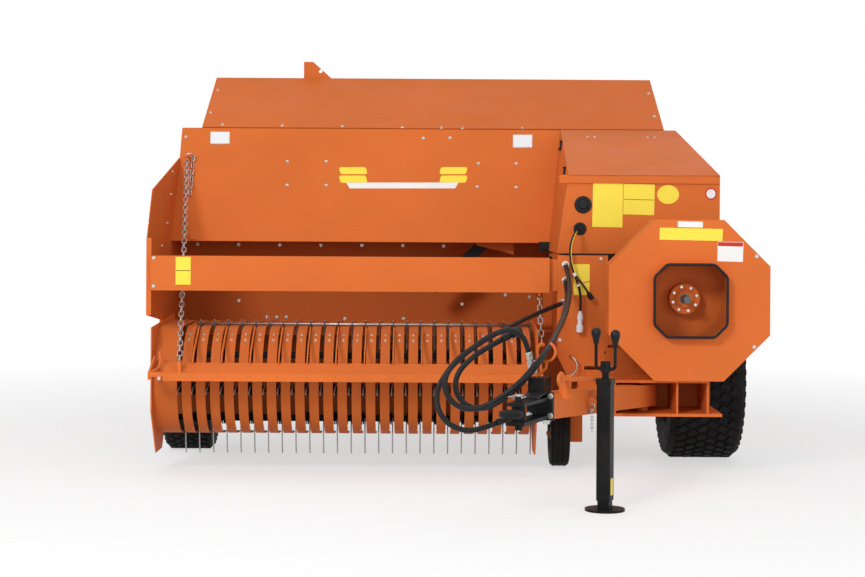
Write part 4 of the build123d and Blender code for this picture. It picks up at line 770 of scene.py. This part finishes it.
def make_reel():
    left, right = PICKUP_LEFT_X + REEL_END_GAP, PICKUP_RIGHT_X - REEL_END_GAP
    bar = ((0, 0), (0, REEL_BAR_RADIUS), (right - left, REEL_BAR_RADIUS), (right - left, 0))
    build = bmesh.new()
    fingers, coils = [], []
    for turn in turns(REEL_BARS):
        turned(build, bar, on_reel(turn, REEL_BAR_CIRCLE, left), RIGHT, 16)
        out = Vector((0.0, -sin(turn), cos(turn)))
        tangent = Vector((0.0, cos(turn), sin(turn)))
        for column in range(TINE_COLUMNS):
            x = TINE_FIRST_X + column * TINE_PITCH
            fingers.append((on_reel(turn, 0, x), out, tangent, EVEN))
            coils.append((on_reel(turn, REEL_BAR_CIRCLE, x), -RIGHT if column % 2 else RIGHT, out, EVEN))
            if column % 2 == 0:
                turned(build, TINE_CLAMP, on_reel(turn, REEL_BAR_CIRCLE, x + TINE_PITCH / 2 - 9), RIGHT, 12)
    bars = new_piece("tine_bar_pipes", build, BLACK_PAINT, "reel")
    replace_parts(bars, "tine_bars")
    set_out("tine_fingers", FINGER, fingers, SPRING_STEEL, "reel", smooth=True)
    set_out("tine_coils", COIL, coils, BLACK_PAINT, "reel", smooth=True, slot="spring_steel")


def on_band(x, angle):
    """A place on a stripper band, at an angle up from its front."""
    return at(x, -BAND_RADIUS * cos(radians(angle)), BAND_CENTRE_Z + BAND_RADIUS * sin(radians(angle)))


def make_bands():
    """Rivet pairs at the top of the bands, and an ear at each side of their foot."""
    rivets = []
    build = bmesh.new()
    down = Vector((0.0, 0.35, -0.94)) * 0.014
    for k in range(TINE_COLUMNS - 1):
        x = TINE_FIRST_X + (k + 0.5) * TINE_PITCH
        for angle in (61, 51):
            facing = Vector((0.0, -cos(radians(angle)), sin(radians(angle))))
            rivets.append((on_band(x, angle), facing))
        for side in (-1, 1):
            foot = on_band(x + side * 20, -58)
            inner, outer = foot - side * 0.006 * RIGHT, foot + side * 0.002 * RIGHT
            plate_on(build, [inner, outer, outer + down], Vector((0.0, -0.94, -0.35)), 2.5, 1)
    bolts("band_rivets", rivets, 0.72, "pickup")
    new_piece("band_ears", build, ORANGE_PAINT, "pickup")


def make_guard_fingers():
    """Flat fingers that lead from the crop guard back between the bands, and a tab at each."""
    build = bmesh.new()
    outline = ((-327, 540), (-300, 574), (-215, 622), (-112, 684), (-96, 687), (-118, 697), (-222, 645),
               (-312, 594), (-345, 548), (-345, 536))
    for k in range(GUARD_FINGERS):
        x = TINE_FIRST_X + (2 * k + 1.5) * TINE_PITCH - GUARD_FINGER_OFFSET
        plate_on(build, [at(x, y, z) for y, z in outline], RIGHT, 5)
        tab = [at(x + dx, -440, z) for dx, z in ((-5, 500), (9, 500), (6, 486), (-2, 486))]
        plate_on(build, tab, FRONT, 3, 1)
    new_piece("guard_fingers", build, ORANGE_PAINT, "crop_guard")


def make_pickup_fittings():
    rim = ((-110, 620), (40, 655), (-190, 330), (-90, 230), (150, 250))
    bearing = ((60, REEL_Z), (-60, REEL_Z))
    places = []
    for x, facing, spots in ((PICKUP_LEFT_X + PICKUP_PLATE, RIGHT, ((-60, 640), (-205, 470))),
                             (PICKUP_LEFT_X, -RIGHT, bearing), (PICKUP_RIGHT_X, RIGHT, bearing)):
        places += [(at(x, y, z), facing) for y, z in rim + spots]
    bolts("pickup_bolts", places, 1.1, "pickup")
    turned_piece("guard_stop_bolt", STOP_BOLT, at(-1242, -436, 478), FRONT, 6, ZINC, "crop_guard")
    rail = guided(((-1262, -300, 588), (-1250, -330, 560), (-1252, -372, 522), (-1266, -405, 512),
                   (-1284, -420, 503)), 6)
    tube_piece("guard_spring_rod", rail, 6, 10, ORANGE_PAINT, "crop_guard", smooth=False)
    tube_piece("wind_rod", [at(x, 12, 701) for x in (-1130, -300, 470)], 6, 10, SPRING_STEEL, "pickup")


make_reel()
make_bands()
make_guard_fingers()
make_pickup_fittings()


# Chains


def chain_rows(start, end, links):
    """Links between two places, each turned a quarter from the last."""
    line = end - start
    way = line.normalized()
    flats = (way.cross(RIGHT).normalized(), RIGHT)
    return [(start + line * ((i + 0.5) / links), flats[i % 2], way, EVEN) for i in range(links)]


def chain(name, rows, body="chassis", **sizes):
    # Links take the darkened chain steel, a painted shade.
    return set_out(name, LINK, rows, CHAIN_ZINC_IN_PAINTED_SHADE, body, smooth=True, **sizes)


def make_chains():
    """The lift chain and the stay chain, and the spare end of the lift chain that hangs from its hook."""
    lift = chain("lift_chain", chain_rows(at(-1318, 1034, 1516), at(-1151, -425, 556), 46))
    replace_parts(lift, "chain_left")
    stay = chain("stay_chain", chain_rows(at(512, -30, 858), at(512, -256, 638), 8), link_length=0.043)
    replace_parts(stay, "chain_right")
    head, foot = Vector((0.0, *PANEL_HEAD)), Vector((0.0, *PANEL_FOOT))
    facings = (Vector((-0.6, -0.6, 0.5)), Vector((0.8, -0.4, 0.3)))
    rows = []
    for i in range(6):
        z = 1512 - 37 * i
        y = foot.y + (z - foot.z) * (head.y - foot.y) / (head.z - foot.z)
        rows.append((at(-1288, y - 13, z + 9), facings[i % 2], (foot - head).normalized(), EVEN))
    chain("spare_chain", rows)
    hook = guided(((-1318, 1030, 1530), (-1318, 1018, 1544), (-1300, 1022, 1548), (-1288, 1040, 1540),
                   (-1288, 1052, 1520)), 6)
    tube_piece("chain_hook_wire", hook, 4.5, 10, ZINC)


make_chains()


# Sheet-metal faces: films, plates, reflectors, latches and bolts


def film_on(name, node, finish, pixels, radius=2.0, thickness=0.7):
    """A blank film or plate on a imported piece, by its corners or by left, top, right and foot in pixels."""
    if len(pixels) == 4:
        left, top, right, foot = pixels
        pixels = (left, top, right, top, right, foot, left, foot)
    places = [seen_on(node, x, y) for x, y in zip(pixels[::2], pixels[1::2])]
    build = bmesh.new()
    plate_on(build, rounded([place for place, _ in places], radius), places[0][1], thickness, 0.3)
    return new_piece(name, build, finish)


def disc_on(name, node, finish, pixel, profile, squash=1.0):
    """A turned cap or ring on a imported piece, where a pixel shows it."""
    place, facing = seen_on(node, *pixel)
    build = bmesh.new()
    turned(build, profile, place, facing, 40)
    if squash != 1.0:
        for vertex in build.verts:
            vertex.co.z = place.z + (vertex.co.z - place.z) * squash
    return new_piece(name, build, finish)


def flat_disc(low, high, radius):
    return (low, 0), (low, radius), (high, radius), (high, 0)


def make_panel_faces():
    panel = "front_panel"
    for side, left, right, lean in (("left", 338.6, 365.7, 1.6), ("right", 440.7, 467.3, -1.6)):
        for part, top, foot in (("upper", 167.2, 174.2), ("lower", 175.6, 182.8)):
            film_on(f"stripe_{side}_{part}", panel, YELLOW_FILM,
                    (left, top, right, top, right + lean, foot, left + lean, foot), 14)
    film_on("stripe_bar", panel, WHITE_FILM, (346, 182.6, 458.5, 182.6, 455, 188.4, 349.5, 188.4), 5)
    for side, left, top, right, foot in (("left", 210, 132, 229.3, 144.3), ("right", 512.5, 135, 531.8, 148)):
        film_on(f"reflector_{side}_frame", panel, ZINC, (left, top, right, foot), 4, 3)
        inner = (left + 0.7, top + 0.7, right - 0.7, foot - 0.7)
        film_on(f"reflector_{side}", panel, REFLECTOR, inner, 3, 4.5)
    film_on("panel_fold", panel, ORANGE_PAINT, (189.3, 236.5, 195.5, 236.5, 195.5, 240, 190.6, 240), 1, 6)
    film_on("cross_bar_film", "cross_bar", YELLOW_FILM, (176, 256.8, 191, 284.6))
    film_on("cross_bar_film_split", "cross_bar", BLACK_PLASTIC, (176.4, 270.2, 190.6, 270.9), 0.2, 0.9)
    box_piece("panel_latch", TRIM_RUBBER, (556, 744, 1040), (618, 764, 1090), edge=5)
    box_piece("panel_latch_bar", TRIM_RUBBER, (566, 730, 1052), (608, 748, 1066), edge=5)


def make_housing_faces():
    house = "housing"
    film_on("housing_film_tall", house, YELLOW_FILM, (593, 183, 623, 183.4, 622.4, 227.4, 592.2, 226.8))
    film_on("housing_film_square", house, YELLOW_FILM, (623.6, 183.8, 654.7, 184.6, 654, 215.2, 623.2, 214.2))
    film_on("square_film_split", house, BLACK_PLASTIC, (623.8, 199, 654.2, 199.8, 654.2, 200.3, 623.8, 199.5),
            0.2, 0.9)
    disc_on("housing_film_oval", house, YELLOW_FILM, (668, 194.5), flat_disc(-0.3, 0.7, 53), 0.86)
    disc_on("round_film_rim", house, RED_FILM, (710.8, 193.8), flat_disc(-0.3, 0.7, 29))
    disc_on("round_film", house, WHITE_FILM, (710.8, 193.8), flat_disc(0.6, 1.0, 22))
    disc_on("housing_plug", house, BLACK_PLASTIC, (583, 204.7), PLUG)
    disc_on("cable_grommet", house, TRIM_RUBBER, (580, 228.7), GROMMET)
    for name, pixel in (("upper", (561.4, 145)), ("lower", (565.0, 171.5))):
        place, facing = seen_on(house, *pixel)
        right, up, out = facing_frame(facing)
        build = bmesh.new()
        for low, high, wide, deep in ((-26, 24, 13, 10), (-30, -18, 20, 15), (14, 22, 19, 14)):
            corners = [place + right * (a * wide * MM) + up * (b * MM)
                       for a, b in ((-1, low), (1, low), (1, high), (-1, high))]
            plate_on(build, corners, out, deep, 1)
        soften(build, 1.5)
        new_piece("lid_latch_" + name, build, TRIM_RUBBER)
    box_piece("lid_front_flange", ORANGE_PAINT, (614, 92, 1388), (1394, 96, 1428), "lid", 1)
    box_piece("housing_seal", BLACK_PAINT, (624, 104, 985), (1000, 110, 1080))
    film_on("lower_panel_film", "lower_panel", YELLOW_FILM, (574, 264.2, 590, 295))
    # A black disc paints the shade inside a hole in the lower panel.
    disc_on("panel_hole", "lower_panel", BLACK_PAINT, (606, 352.6), flat_disc(0, 0.6, 5))
    rod = guided(((570.5, 356, -26), (572.5, 356.5, -48), (577, 361, -60), (578.5, 367, -62),
                  (575, 373.5, -58), (569, 376.5, -48), (564.5, 376.8, -34)), 8, seen_at)
    tube_piece("hose_rest_rod", rod, 4.5, 10, ZINC)
    # Sheet behind the cradle in a darker copy of the orange: painted shade.
    box_piece("cradle_back_sheet", ORANGE_IN_PAINTED_SHADE, (832, -46, 320), (1330, -42, 600))


def make_flywheel_faces():
    guard = "flywheel_guard"
    film_on("guard_film_strip", guard, YELLOW_FILM, (660, 227.6, 723, 229, 722.6, 241, 659.6, 239.6))
    film_on("guard_film_small", guard, WHITE_FILM, (678, 221.2, 703, 221.8, 702.8, 227.6, 677.8, 227))
    film_on("guard_plate", guard, WHITE_FILM, (718, 241.6, 743.7, 242.2, 743.2, 262, 717.6, 261.2))
    film_on("guard_plate_band", guard, RED_FILM, (718.3, 242, 743.3, 242.6, 743.1, 246.6, 718.1, 246), 0.5, 1)
    half = GUARD_OPENING / 2 + 1
    flat = half - GUARD_OPENING_CORNER
    corners = ((-half, -flat), (-half, flat), (-flat, half), (flat, half), (half, flat), (half, -flat),
               (flat, -half), (-flat, -half))
    shaft_x, shaft_z = SHAFT
    edge = [at(shaft_x + a, GUARD_FACE_Y - COLLAR_REACH, shaft_z + b) for a, b in corners]
    tube_piece("guard_edge_trim", rounded(edge, 14, 5), 6.5, 10, TRIM_RUBBER, closed=True)
    flange = [(at(shaft_x + FLANGE_BOLT_CIRCLE * cos(turn), FLANGE_FACE_Y,
                  shaft_z + FLANGE_BOLT_CIRCLE * sin(turn)), FRONT) for turn in turns(8, 0.35)]
    bolts("flange_bolts", flange, 0.85, "flywheel")
    # Rim face of the flywheel in a darker copy of the orange: painted shade.
    turned_piece("flywheel_rim_face", RIM_FACE, at(shaft_x, RIM_FACE_Y, shaft_z), FRONT, 72, ORANGE_IN_PAINTED_SHADE,
                 "flywheel")
    turned_piece("flange_boss", FLANGE_BOSS, at(shaft_x, FLANGE_FACE_Y, shaft_z), FRONT, 40, ORANGE_PAINT,
                 "flywheel")


# Bolts on the body sheets, by pixel where the photograph shows them, and those that aren't of the usual size
SHEET_BOLTS = {
    "hood": [(217, 90), (210, 112.5), (648, 93.6), (654, 116.4), (222, 124.6), (282, 125.4), (342, 126.3),
             (402, 127.2), (441, 127.8), (462, 128.1), (522, 128.8)],
    "top_bracket": [(320, 71.6)],
    "front_panel": [(287, 161.6), (326, 161.6), (287, 185.3), (326, 185.3), (478, 163.6), (516, 163.8),
                    (477, 187), (516, 187.5), (423, 138.4), (449.6, 138), (185.5, 137)],
    "bulkhead": [(198 + 41 * k, 244.3 + 0.25 * k) for k in range(7)]
    + [(239.7, 300.6), (462.6, 304), (505.8, 295), (530, 297), (267.5, 317), (277.5, 317), (287, 317),
       (345.5, 318.7), (404, 318.5)],
    "side_sheet": [(170.8, 194.8), (167.2, 223.3), (172, 172), (162, 246)],
    "flywheel_guard": [(757, 256.5), (755, 347), (617, 334)],
    "cross_bar": [(154, 258), (154, 286)],
    "lower_panel": [(601.5, 259), (560.5, 340)],
}
SHEET_BOLT_SIZES = {"bulkhead": 1.15, "top_bracket": 1.3}
LID_BOLTS = ((587, 137), (594, 137), (647, 137.4), (654, 137.6))


def make_sheet_bolts():
    made = []
    for node, pixels in SHEET_BOLTS.items():
        made += bolt_rows([seen_on(node, *pixel) for pixel in pixels], SHEET_BOLT_SIZES.get(node, 1.0))
    set_out("sheet_bolts", BOLT, made, ZINC)
    bolts("lid_bolts", [seen_on("housing_lid", *pixel) for pixel in LID_BOLTS], 0.8, "lid")


make_panel_faces()
make_housing_faces()
make_flywheel_faces()
make_sheet_bolts()


# Drawbar: jack with its crank, hook, clevis fittings
HEAD_MATRIX = (Matrix.Translation(at(*DRAWBAR_PIVOT, 0.0))
               @ Matrix.Rotation(radians(-DRAWBAR_HEADING), 4, "Z"))


def head_place(x, along, z):
    """A place on the drawbar before it is turned: X to its right, -Y ahead of its pivot."""
    return Vector((x, -along, z)) * MM


def jack_place(x, along, z):
    """A place on the jack, from its axis and its top, before the drawbar is turned."""
    return head_place(JACK_X + x, JACK_ALONG + along, JACK_TOP_Z + z)


def head_piece(name, build, finish, smooth=False):
    """Turns a form that is built along the drawbar into its place."""
    bmesh.ops.transform(build, matrix=HEAD_MATRIX, verts=build.verts)
    return new_piece(name, build, finish, "drawbar", smooth)


def make_jack():
    build = bmesh.new()
    rings = []
    inside = JACK_HALF - JACK_WALL
    for z, size, radius in ((-16, inside, 2), (-486, inside, 2), (-486, JACK_HALF, 5), (-2, JACK_HALF, 5)):
        ring = rounded([jack_place(a * size, b * size, z) for a, b in SQUARE], radius, 3)
        rings.append([build.verts.new(point) for point in ring])
    join_rings(build, rings)
    build.faces.new(rings[0])
    build.faces.new(rings[-1])
    column = head_piece("jack_column", build, BLACK_PAINT)
    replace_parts(column, "jack_body")
    build = bmesh.new()
    plate_on(build, rounded([jack_place(a * 33, b * 33, -2) for a, b in SQUARE], 5, 3), UP, 24)
    turned(build, JACK_GEAR, jack_place(0, 0, 21), UP, 28)
    turned(build, JACK_SHAFT, jack_place(0, 0, 82), -FRONT, 14)
    head_piece("jack_cap", build, BLACK_PAINT)
    build = bmesh.new()
    crank = ((-42, 176), (-42, 130), (-42, 84), (-41, 66), (-26, 62), (0, 62), (26, 62), (41, 66), (42, 84),
             (42, 125), (42, 170))
    swept_tube(build, nurbs_line([jack_place(x, 0, z) for x, z in crank], 6), 7, 14)
    head_piece("jack_crank", build, BLACK_PAINT, smooth=True)
    build = bmesh.new()
    for x, z in ((-42, 165), (42, 158)):
        turned(build, JACK_KNOB, jack_place(x, 0, z), UP, 28)
    head_piece("jack_knobs", build, BLACK_PLASTIC, smooth=True)
    build = bmesh.new()
    corners = [jack_place(JACK_HALF, a, z) for a, z in ((-15, -464), (17, -464), (17, -393), (-15, -393))]
    plate_on(build, corners, RIGHT, 0.7, 0.3)
    head_piece("jack_film", build, YELLOW_FILM)


def make_hook():
    build = bmesh.new()
    ring = [head_place(HOOK_RADIUS * sin(turn), HOOK_ALONG, HOOK_Z + HOOK_RADIUS * cos(turn))
            for turn in (radians(24 + 13 * k) for k in range(25))]
    swept_tube(build, ring, 5.5, 12)
    stem = guided(((0, HOOK_ALONG, HOOK_Z - 37), (0, HOOK_ALONG, HOOK_Z - 58),
                   (-4, HOOK_ALONG + 3, HOOK_Z - 72), (-34, HOOK_ALONG + 25, HEAD_BOX_TOP_Z - 1)),
                  8, head_place)
    swept_tube(build, stem, 5.5, 12)
    hook = head_piece("hook_rod", build, ORANGE_PAINT, smooth=True)
    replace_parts(hook, "hose_hook")


def make_head_fittings():
    build = bmesh.new()
    strap = ((1436, 104), (1462, 103), (1500, 100), (1530, 93), (1552, 89))
    for (a, z), (b, w) in zip(strap, strap[1:]):
        corners = ((-34, a, z), (34, a, z), (34, b, w), (-34, b, w))
        plate_on(build, [head_place(x, along, HEAD_FOOT_Z + up) for x, along, up in corners], UP, 6)
    head_piece("clevis_strap", build, BLACK_PAINT)
    build = bmesh.new()
    turned(build, TOW_PIN, head_place(0, TOW_PIN_ALONG, HEAD_FOOT_Z + 108), UP, 28)
    clip = ((-30, 0, 104), (-10, 4, 105), (14, 8, 106), (28, 2, 108), (24, -6, 113), (4, -10, 116),
            (-14, -8, 114), (-32, -2, 110), (-44, 2, 106))
    swept_tube(build, nurbs_line([head_place(x, TOW_PIN_ALONG + y, HEAD_FOOT_Z + z) for x, y, z in clip], 6),
               2.2, 8)
    head_piece("spring_pin", build, SPRING_STEEL, smooth=True)
    places = [(HEAD_MATRIX @ head_place(x, HEAD_ALONG + 20, HEAD_FOOT_Z + z), HEAD_MATRIX.to_3x3() @ FRONT)
              for x, z in ((-44, 14), (44, 14), (-44, 92), (44, 92))]
    bolts("head_bolts", places, 1.3, "drawbar")
    build = bmesh.new()
    for along in (HEAD_ALONG - 40, HEAD_ALONG - 4):
        turned(build, HEAD_NUT, head_place(14, along, DRAWBAR_FOOT_Z + DRAWBAR_RISE * along + 1), -UP, 6)
    head_piece("head_nuts", build, ZINC)


def make_lock_pin():
    """The pin that locks the jack's swivel, with its ring and chain."""
    pin_z = DRAWBAR_FOOT_Z + DRAWBAR_RISE * JACK_ALONG + 50
    build = bmesh.new()
    turned(build, LOCK_PIN, head_place(JACK_PIN_X, JACK_ALONG + 28, pin_z), FRONT, 16)
    ring = [head_place(JACK_PIN_X + 12 * cos(turn), JACK_ALONG + 38, pin_z - 14 + 14 * sin(turn))
            for turn in turns(20)]
    swept_tube(build, ring, 2, 6, closed=True)
    head_piece("jack_lock_pin", build, ZINC)
    top, end = (HEAD_MATRIX @ head_place(JACK_PIN_X, JACK_ALONG + 38, pin_z - drop) for drop in (26, 116))
    chain("lock_pin_chain", chain_rows(top, end, 6), "drawbar", link_length=0.019, link_width=0.010,
          wire_radius=0.0016)


make_jack()
make_hook()
make_head_fittings()
make_lock_pin()


# Sides, back and chamber
BOLT_LINES = (
    ("hood", (1500, 1250, 1660), (1500, 1840, 1940), 4, -RIGHT),
    ("hood", (1500, 2080, 1340), (1500, 2080, 1880), 4, -RIGHT),
    ("hood", (1500, 1300, 1330), (1500, 2000, 1330), 5, -RIGHT),
    ("hood", (-1500, 1250, 1660), (-1500, 1840, 1940), 4, RIGHT),
    ("hood", (-1500, 2080, 1340), (-1500, 2080, 1880), 4, RIGHT),
    ("hood", (-1500, 1300, 1330), (-1500, 2000, 1330), 5, RIGHT),
    ("hood", (-1180, 2300, 1340), (1180, 2300, 1340), 9, FRONT),
    ("hood", (-1180, 2300, 1900), (1180, 2300, 1900), 9, FRONT),
    ("side_sheet", (-1600, 60, 800), (-1600, 1100, 800), 6, RIGHT),
    ("side_sheet", (-1600, 60, 1000), (-1600, 60, 1180), 2, RIGHT),
    ("housing", (1600, 140, 1090), (1600, 1150, 1090), 5, -RIGHT),
    ("housing", (1600, 140, 1380), (1600, 1150, 1620), 5, -RIGHT),
    ("bulkhead", (-1300, 1400, 640), (400, 1400, 640), 8, FRONT),
    ("gearbox", (1600, -70, 690), (1600, -70, 980), 4, -RIGHT),
    ("gearbox", (1600, 150, 690), (1600, 150, 980), 4, -RIGHT),
)


def make_outer_bolts():
    """Rows of bolts, each met by a line that runs a given way from a place on the row."""
    places = []
    for node, start, end, count, way in BOLT_LINES:
        spots = [Vector(start).lerp(Vector(end), i / (count - 1)) for i in range(count)]
        places += [met(node, at(*spot), way) for spot in spots]
    bolts("outer_bolts", places, 1.15)


def make_gearbox_casting():
    """Ribs on the gearbox's outer side, and a filler plug in its cover ring on top."""
    low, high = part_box("gearbox")
    build = bmesh.new()
    for share in (0.3, 0.5, 0.7):
        y = low.y + (high.y - low.y) * share
        corners = [Vector((high.x, y + a * 0.006, z)) for a, z in
                   ((-1, low.z + 0.05), (1, low.z + 0.05), (1, high.z - 0.05), (-1, high.z - 0.05))]
        plate_on(build, corners, RIGHT, 12, 2)
    soften(build, 3)
    turned(build, FILLER, Vector(((low.x + high.x) / 2, (low.y + high.y) / 2, high.z)), UP, 36)
    new_piece("gearbox_ribs", build, CASTING)


def make_sheets():
    """Plain sheets behind the hook, behind the reel and under the hood's front edge, in darker copies of the
    orange that paint their shade.
    """
    for name, finish, boxes in (
            ("frame_shield", ORANGE_IN_PAINTED_SHADE, (((532, 448, 346), (836, 452, 640)),)),
            ("deck_apron", ORANGE_IN_DEEP_PAINTED_SHADE, (((-1290, 471, 205), (482, 474, 617)),
                                           ((-1290, 474, 207), (482, 505, 210))))):
        build = bmesh.new()
        for low, high in boxes:
            add_box(build, low, high)
        new_piece(name, build, finish)
    box_piece("hood_front_sheet", ORANGE_IN_PAINTED_SHADE, (644, 1191, 1302), (1256, 1199, 1650), edge=1)


make_outer_bolts()
make_gearbox_casting()
make_sheets()


# Lamp lead from the grommet, with its branch


def make_lamp_lead():
    """Lead with a coloured tracer, its branch, tapes, a tie and two connectors."""
    lead = guided(((580, 228.7, 96), (577, 230, 40), (573, 237, -20), (570.5, 247, -58), (570.5, 257, -66),
                   (572.5, 267, -66), (576, 277, -64), (579.5, 287, -62), (581.5, 299, -60), (581, 311, -58)),
                  8, seen_at)
    cable = tube_piece("lamp_lead", lead, LEAD_DIAMETER / 2, 12, HOSE_RUBBER)
    tracer = [point + Vector((0.0042, -0.0042, 0.0)) for point in lead[6:-20]]
    stripe = tube_piece("lamp_lead_tracer", tracer, 1.8, 6, YELLOW_FILM)
    plug = turned_piece("lamp_lead_connector", LEAD_PLUG, lead[-1], lead[-1] - lead[-2], 20, CLEAR_PLASTIC)
    fork = min(range(len(lead)), key=lambda i: (lead[i] - seen_at(575, 274, -65)).length)
    route = ((579, 279.5, -68), (584, 285.5, -70), (588, 292, -70))
    branch = nurbs_line([lead[fork]] + [seen_at(*numbers) for numbers in route], 8)
    second = tube_piece("lamp_lead_branch", branch, BRANCH_DIAMETER / 2, 12, HOSE_RUBBER)
    second_plug = turned_piece("branch_connector", BRANCH_PLUG, branch[-1], branch[-1] - branch[-2], 20,
                               BLACK_PLASTIC)
    build = bmesh.new()
    for first, last in ((fork - 1, fork + 3), (fork + 9, fork + 12)):
        swept_tube(build, lead[first:last], 8.5, 14)
    tapes = new_piece("lead_tapes", build, WHITE_FILM)
    build = bmesh.new()
    middle = lead[fork + 8]
    loop = [middle + Vector((0.0078 * cos(turn), 0.0078 * sin(turn), 0.0)) for turn in turns(16)]
    swept_tube(build, loop, 1.8, 6, closed=True)
    tail = [middle + Vector(reach) for reach in ((0.006, -0.006, 0.0), (0.035, -0.012, 0.003),
                                                 (0.062, -0.010, 0.009))]
    swept_tube(build, tail, 1.8, 6)
    tie = new_piece("lead_tie", build, RED_FILM)


make_lamp_lead()


# Floor, world and lamps
WHITE = (1.0, 1.0, 1.0, 1.0)
FLOOR_GREY = (0.9, 0.9, 0.9, 1.0)
FLOOR_HALF_SIZE = 60.0
FLOOR_FADE = (2.6, 6.0)
FLOOR_NEAR_WHITE = 0.6
WORLD_STRENGTH = 0.58

# Lamps: name, place, what they aim at, size and power
LAMPS = (
    ("overhead_softbox", (0.0, -2.5, 6.5), (0.0, 0.0, 0.6), (7.0, 5.0), 50.0),
    ("key_softbox", (-3.4, -7.8, 4.9), (0.0, 0.0, 0.8), (2.0, 1.5), 330.0),
    ("front_right_softbox", (5.0, -8.0, 2.5), (0.3, 0.0, 0.8), (4.0, 3.0), 80.0),
    ("front_low_softbox", (0.5, -9.5, 1.5), (0.0, 0.0, 0.9), (5.0, 2.0), 50.0),
)


def seen_or_mirrored(tree):
    """One for rays from the camera, off a shiny face or through clear plastic, nought for the rest."""
    rays = add_node(tree, "ShaderNodeLightPath", {})
    total = rays["Is Camera Ray"]
    for kind in ("Is Glossy Ray", "Is Transmission Ray"):
        total = add_node(tree, "ShaderNodeMath", {0: total, 1: rays[kind]}, operation="MAXIMUM")["Value"]
    return total


def make_floor():
    """Pale floor that turns to plain white away from the machine."""
    build = bmesh.new()
    bmesh.ops.create_grid(build, x_segments=1, y_segments=1, size=FLOOR_HALF_SIZE)
    mesh = bpy.data.meshes.new("floor")
    build.to_mesh(mesh)
    build.free()
    floor = linked("floor", mesh)
    material = bpy.data.materials.new("pale_floor")
    material.use_nodes = True
    tree = material.node_tree
    tree.nodes.clear()
    place = add_node(tree, "ShaderNodeTexCoord", {})["Object"]
    reach = add_node(tree, "ShaderNodeVectorMath", {0: place}, operation="LENGTH")["Value"]
    fade = add_node(tree, "ShaderNodeMapRange", {"From Min": FLOOR_FADE[0], "From Max": FLOOR_FADE[1],
                                                 "To Min": FLOOR_NEAR_WHITE, "Value": reach})["Result"]
    shown = {0: fade, 1: seen_or_mirrored(tree)}
    seen = add_node(tree, "ShaderNodeMath", shown, operation="MULTIPLY")["Value"]
    matte = add_node(tree, "ShaderNodeBsdfDiffuse", {"Color": FLOOR_GREY})["BSDF"]
    white = add_node(tree, "ShaderNodeEmission", {"Color": WHITE})["Emission"]
    mixed = add_node(tree, "ShaderNodeMixShader", {"Fac": seen, 1: matte, 2: white})["Shader"]
    add_node(tree, "ShaderNodeOutputMaterial", {"Surface": mixed})
    mesh.materials.append(material)


def make_world():
    """White to the camera, and dimmer as a light."""
    world = bpy.data.worlds.new("studio")
    bpy.context.scene.world = world
    world.use_nodes = True
    tree = world.node_tree
    tree.nodes.clear()
    light, white = (
        add_node(tree, "ShaderNodeBackground", {"Color": WHITE, "Strength": strength})["Background"]
        for strength in (WORLD_STRENGTH, 1.0))
    layers = {"Fac": seen_or_mirrored(tree), 1: light, 2: white}
    mixed = add_node(tree, "ShaderNodeMixShader", layers)["Shader"]
    add_node(tree, "ShaderNodeOutputWorld", {"Surface": mixed})


def make_lamps():
    for name, place, aim, size, power in LAMPS:
        data = bpy.data.lights.new(name, "AREA")
        data.shape = "RECTANGLE"
        data.size, data.size_y = size
        data.energy = power
        way = Vector(aim) - Vector(place)
        lamp = linked(name, data)
        lamp.matrix_world = Matrix.Translation(place) @ way.to_track_quat("-Z", "Y").to_matrix().to_4x4()


make_floor()
make_world()
make_lamps()

bpy.context.scene.view_settings.view_transform = "Standard"
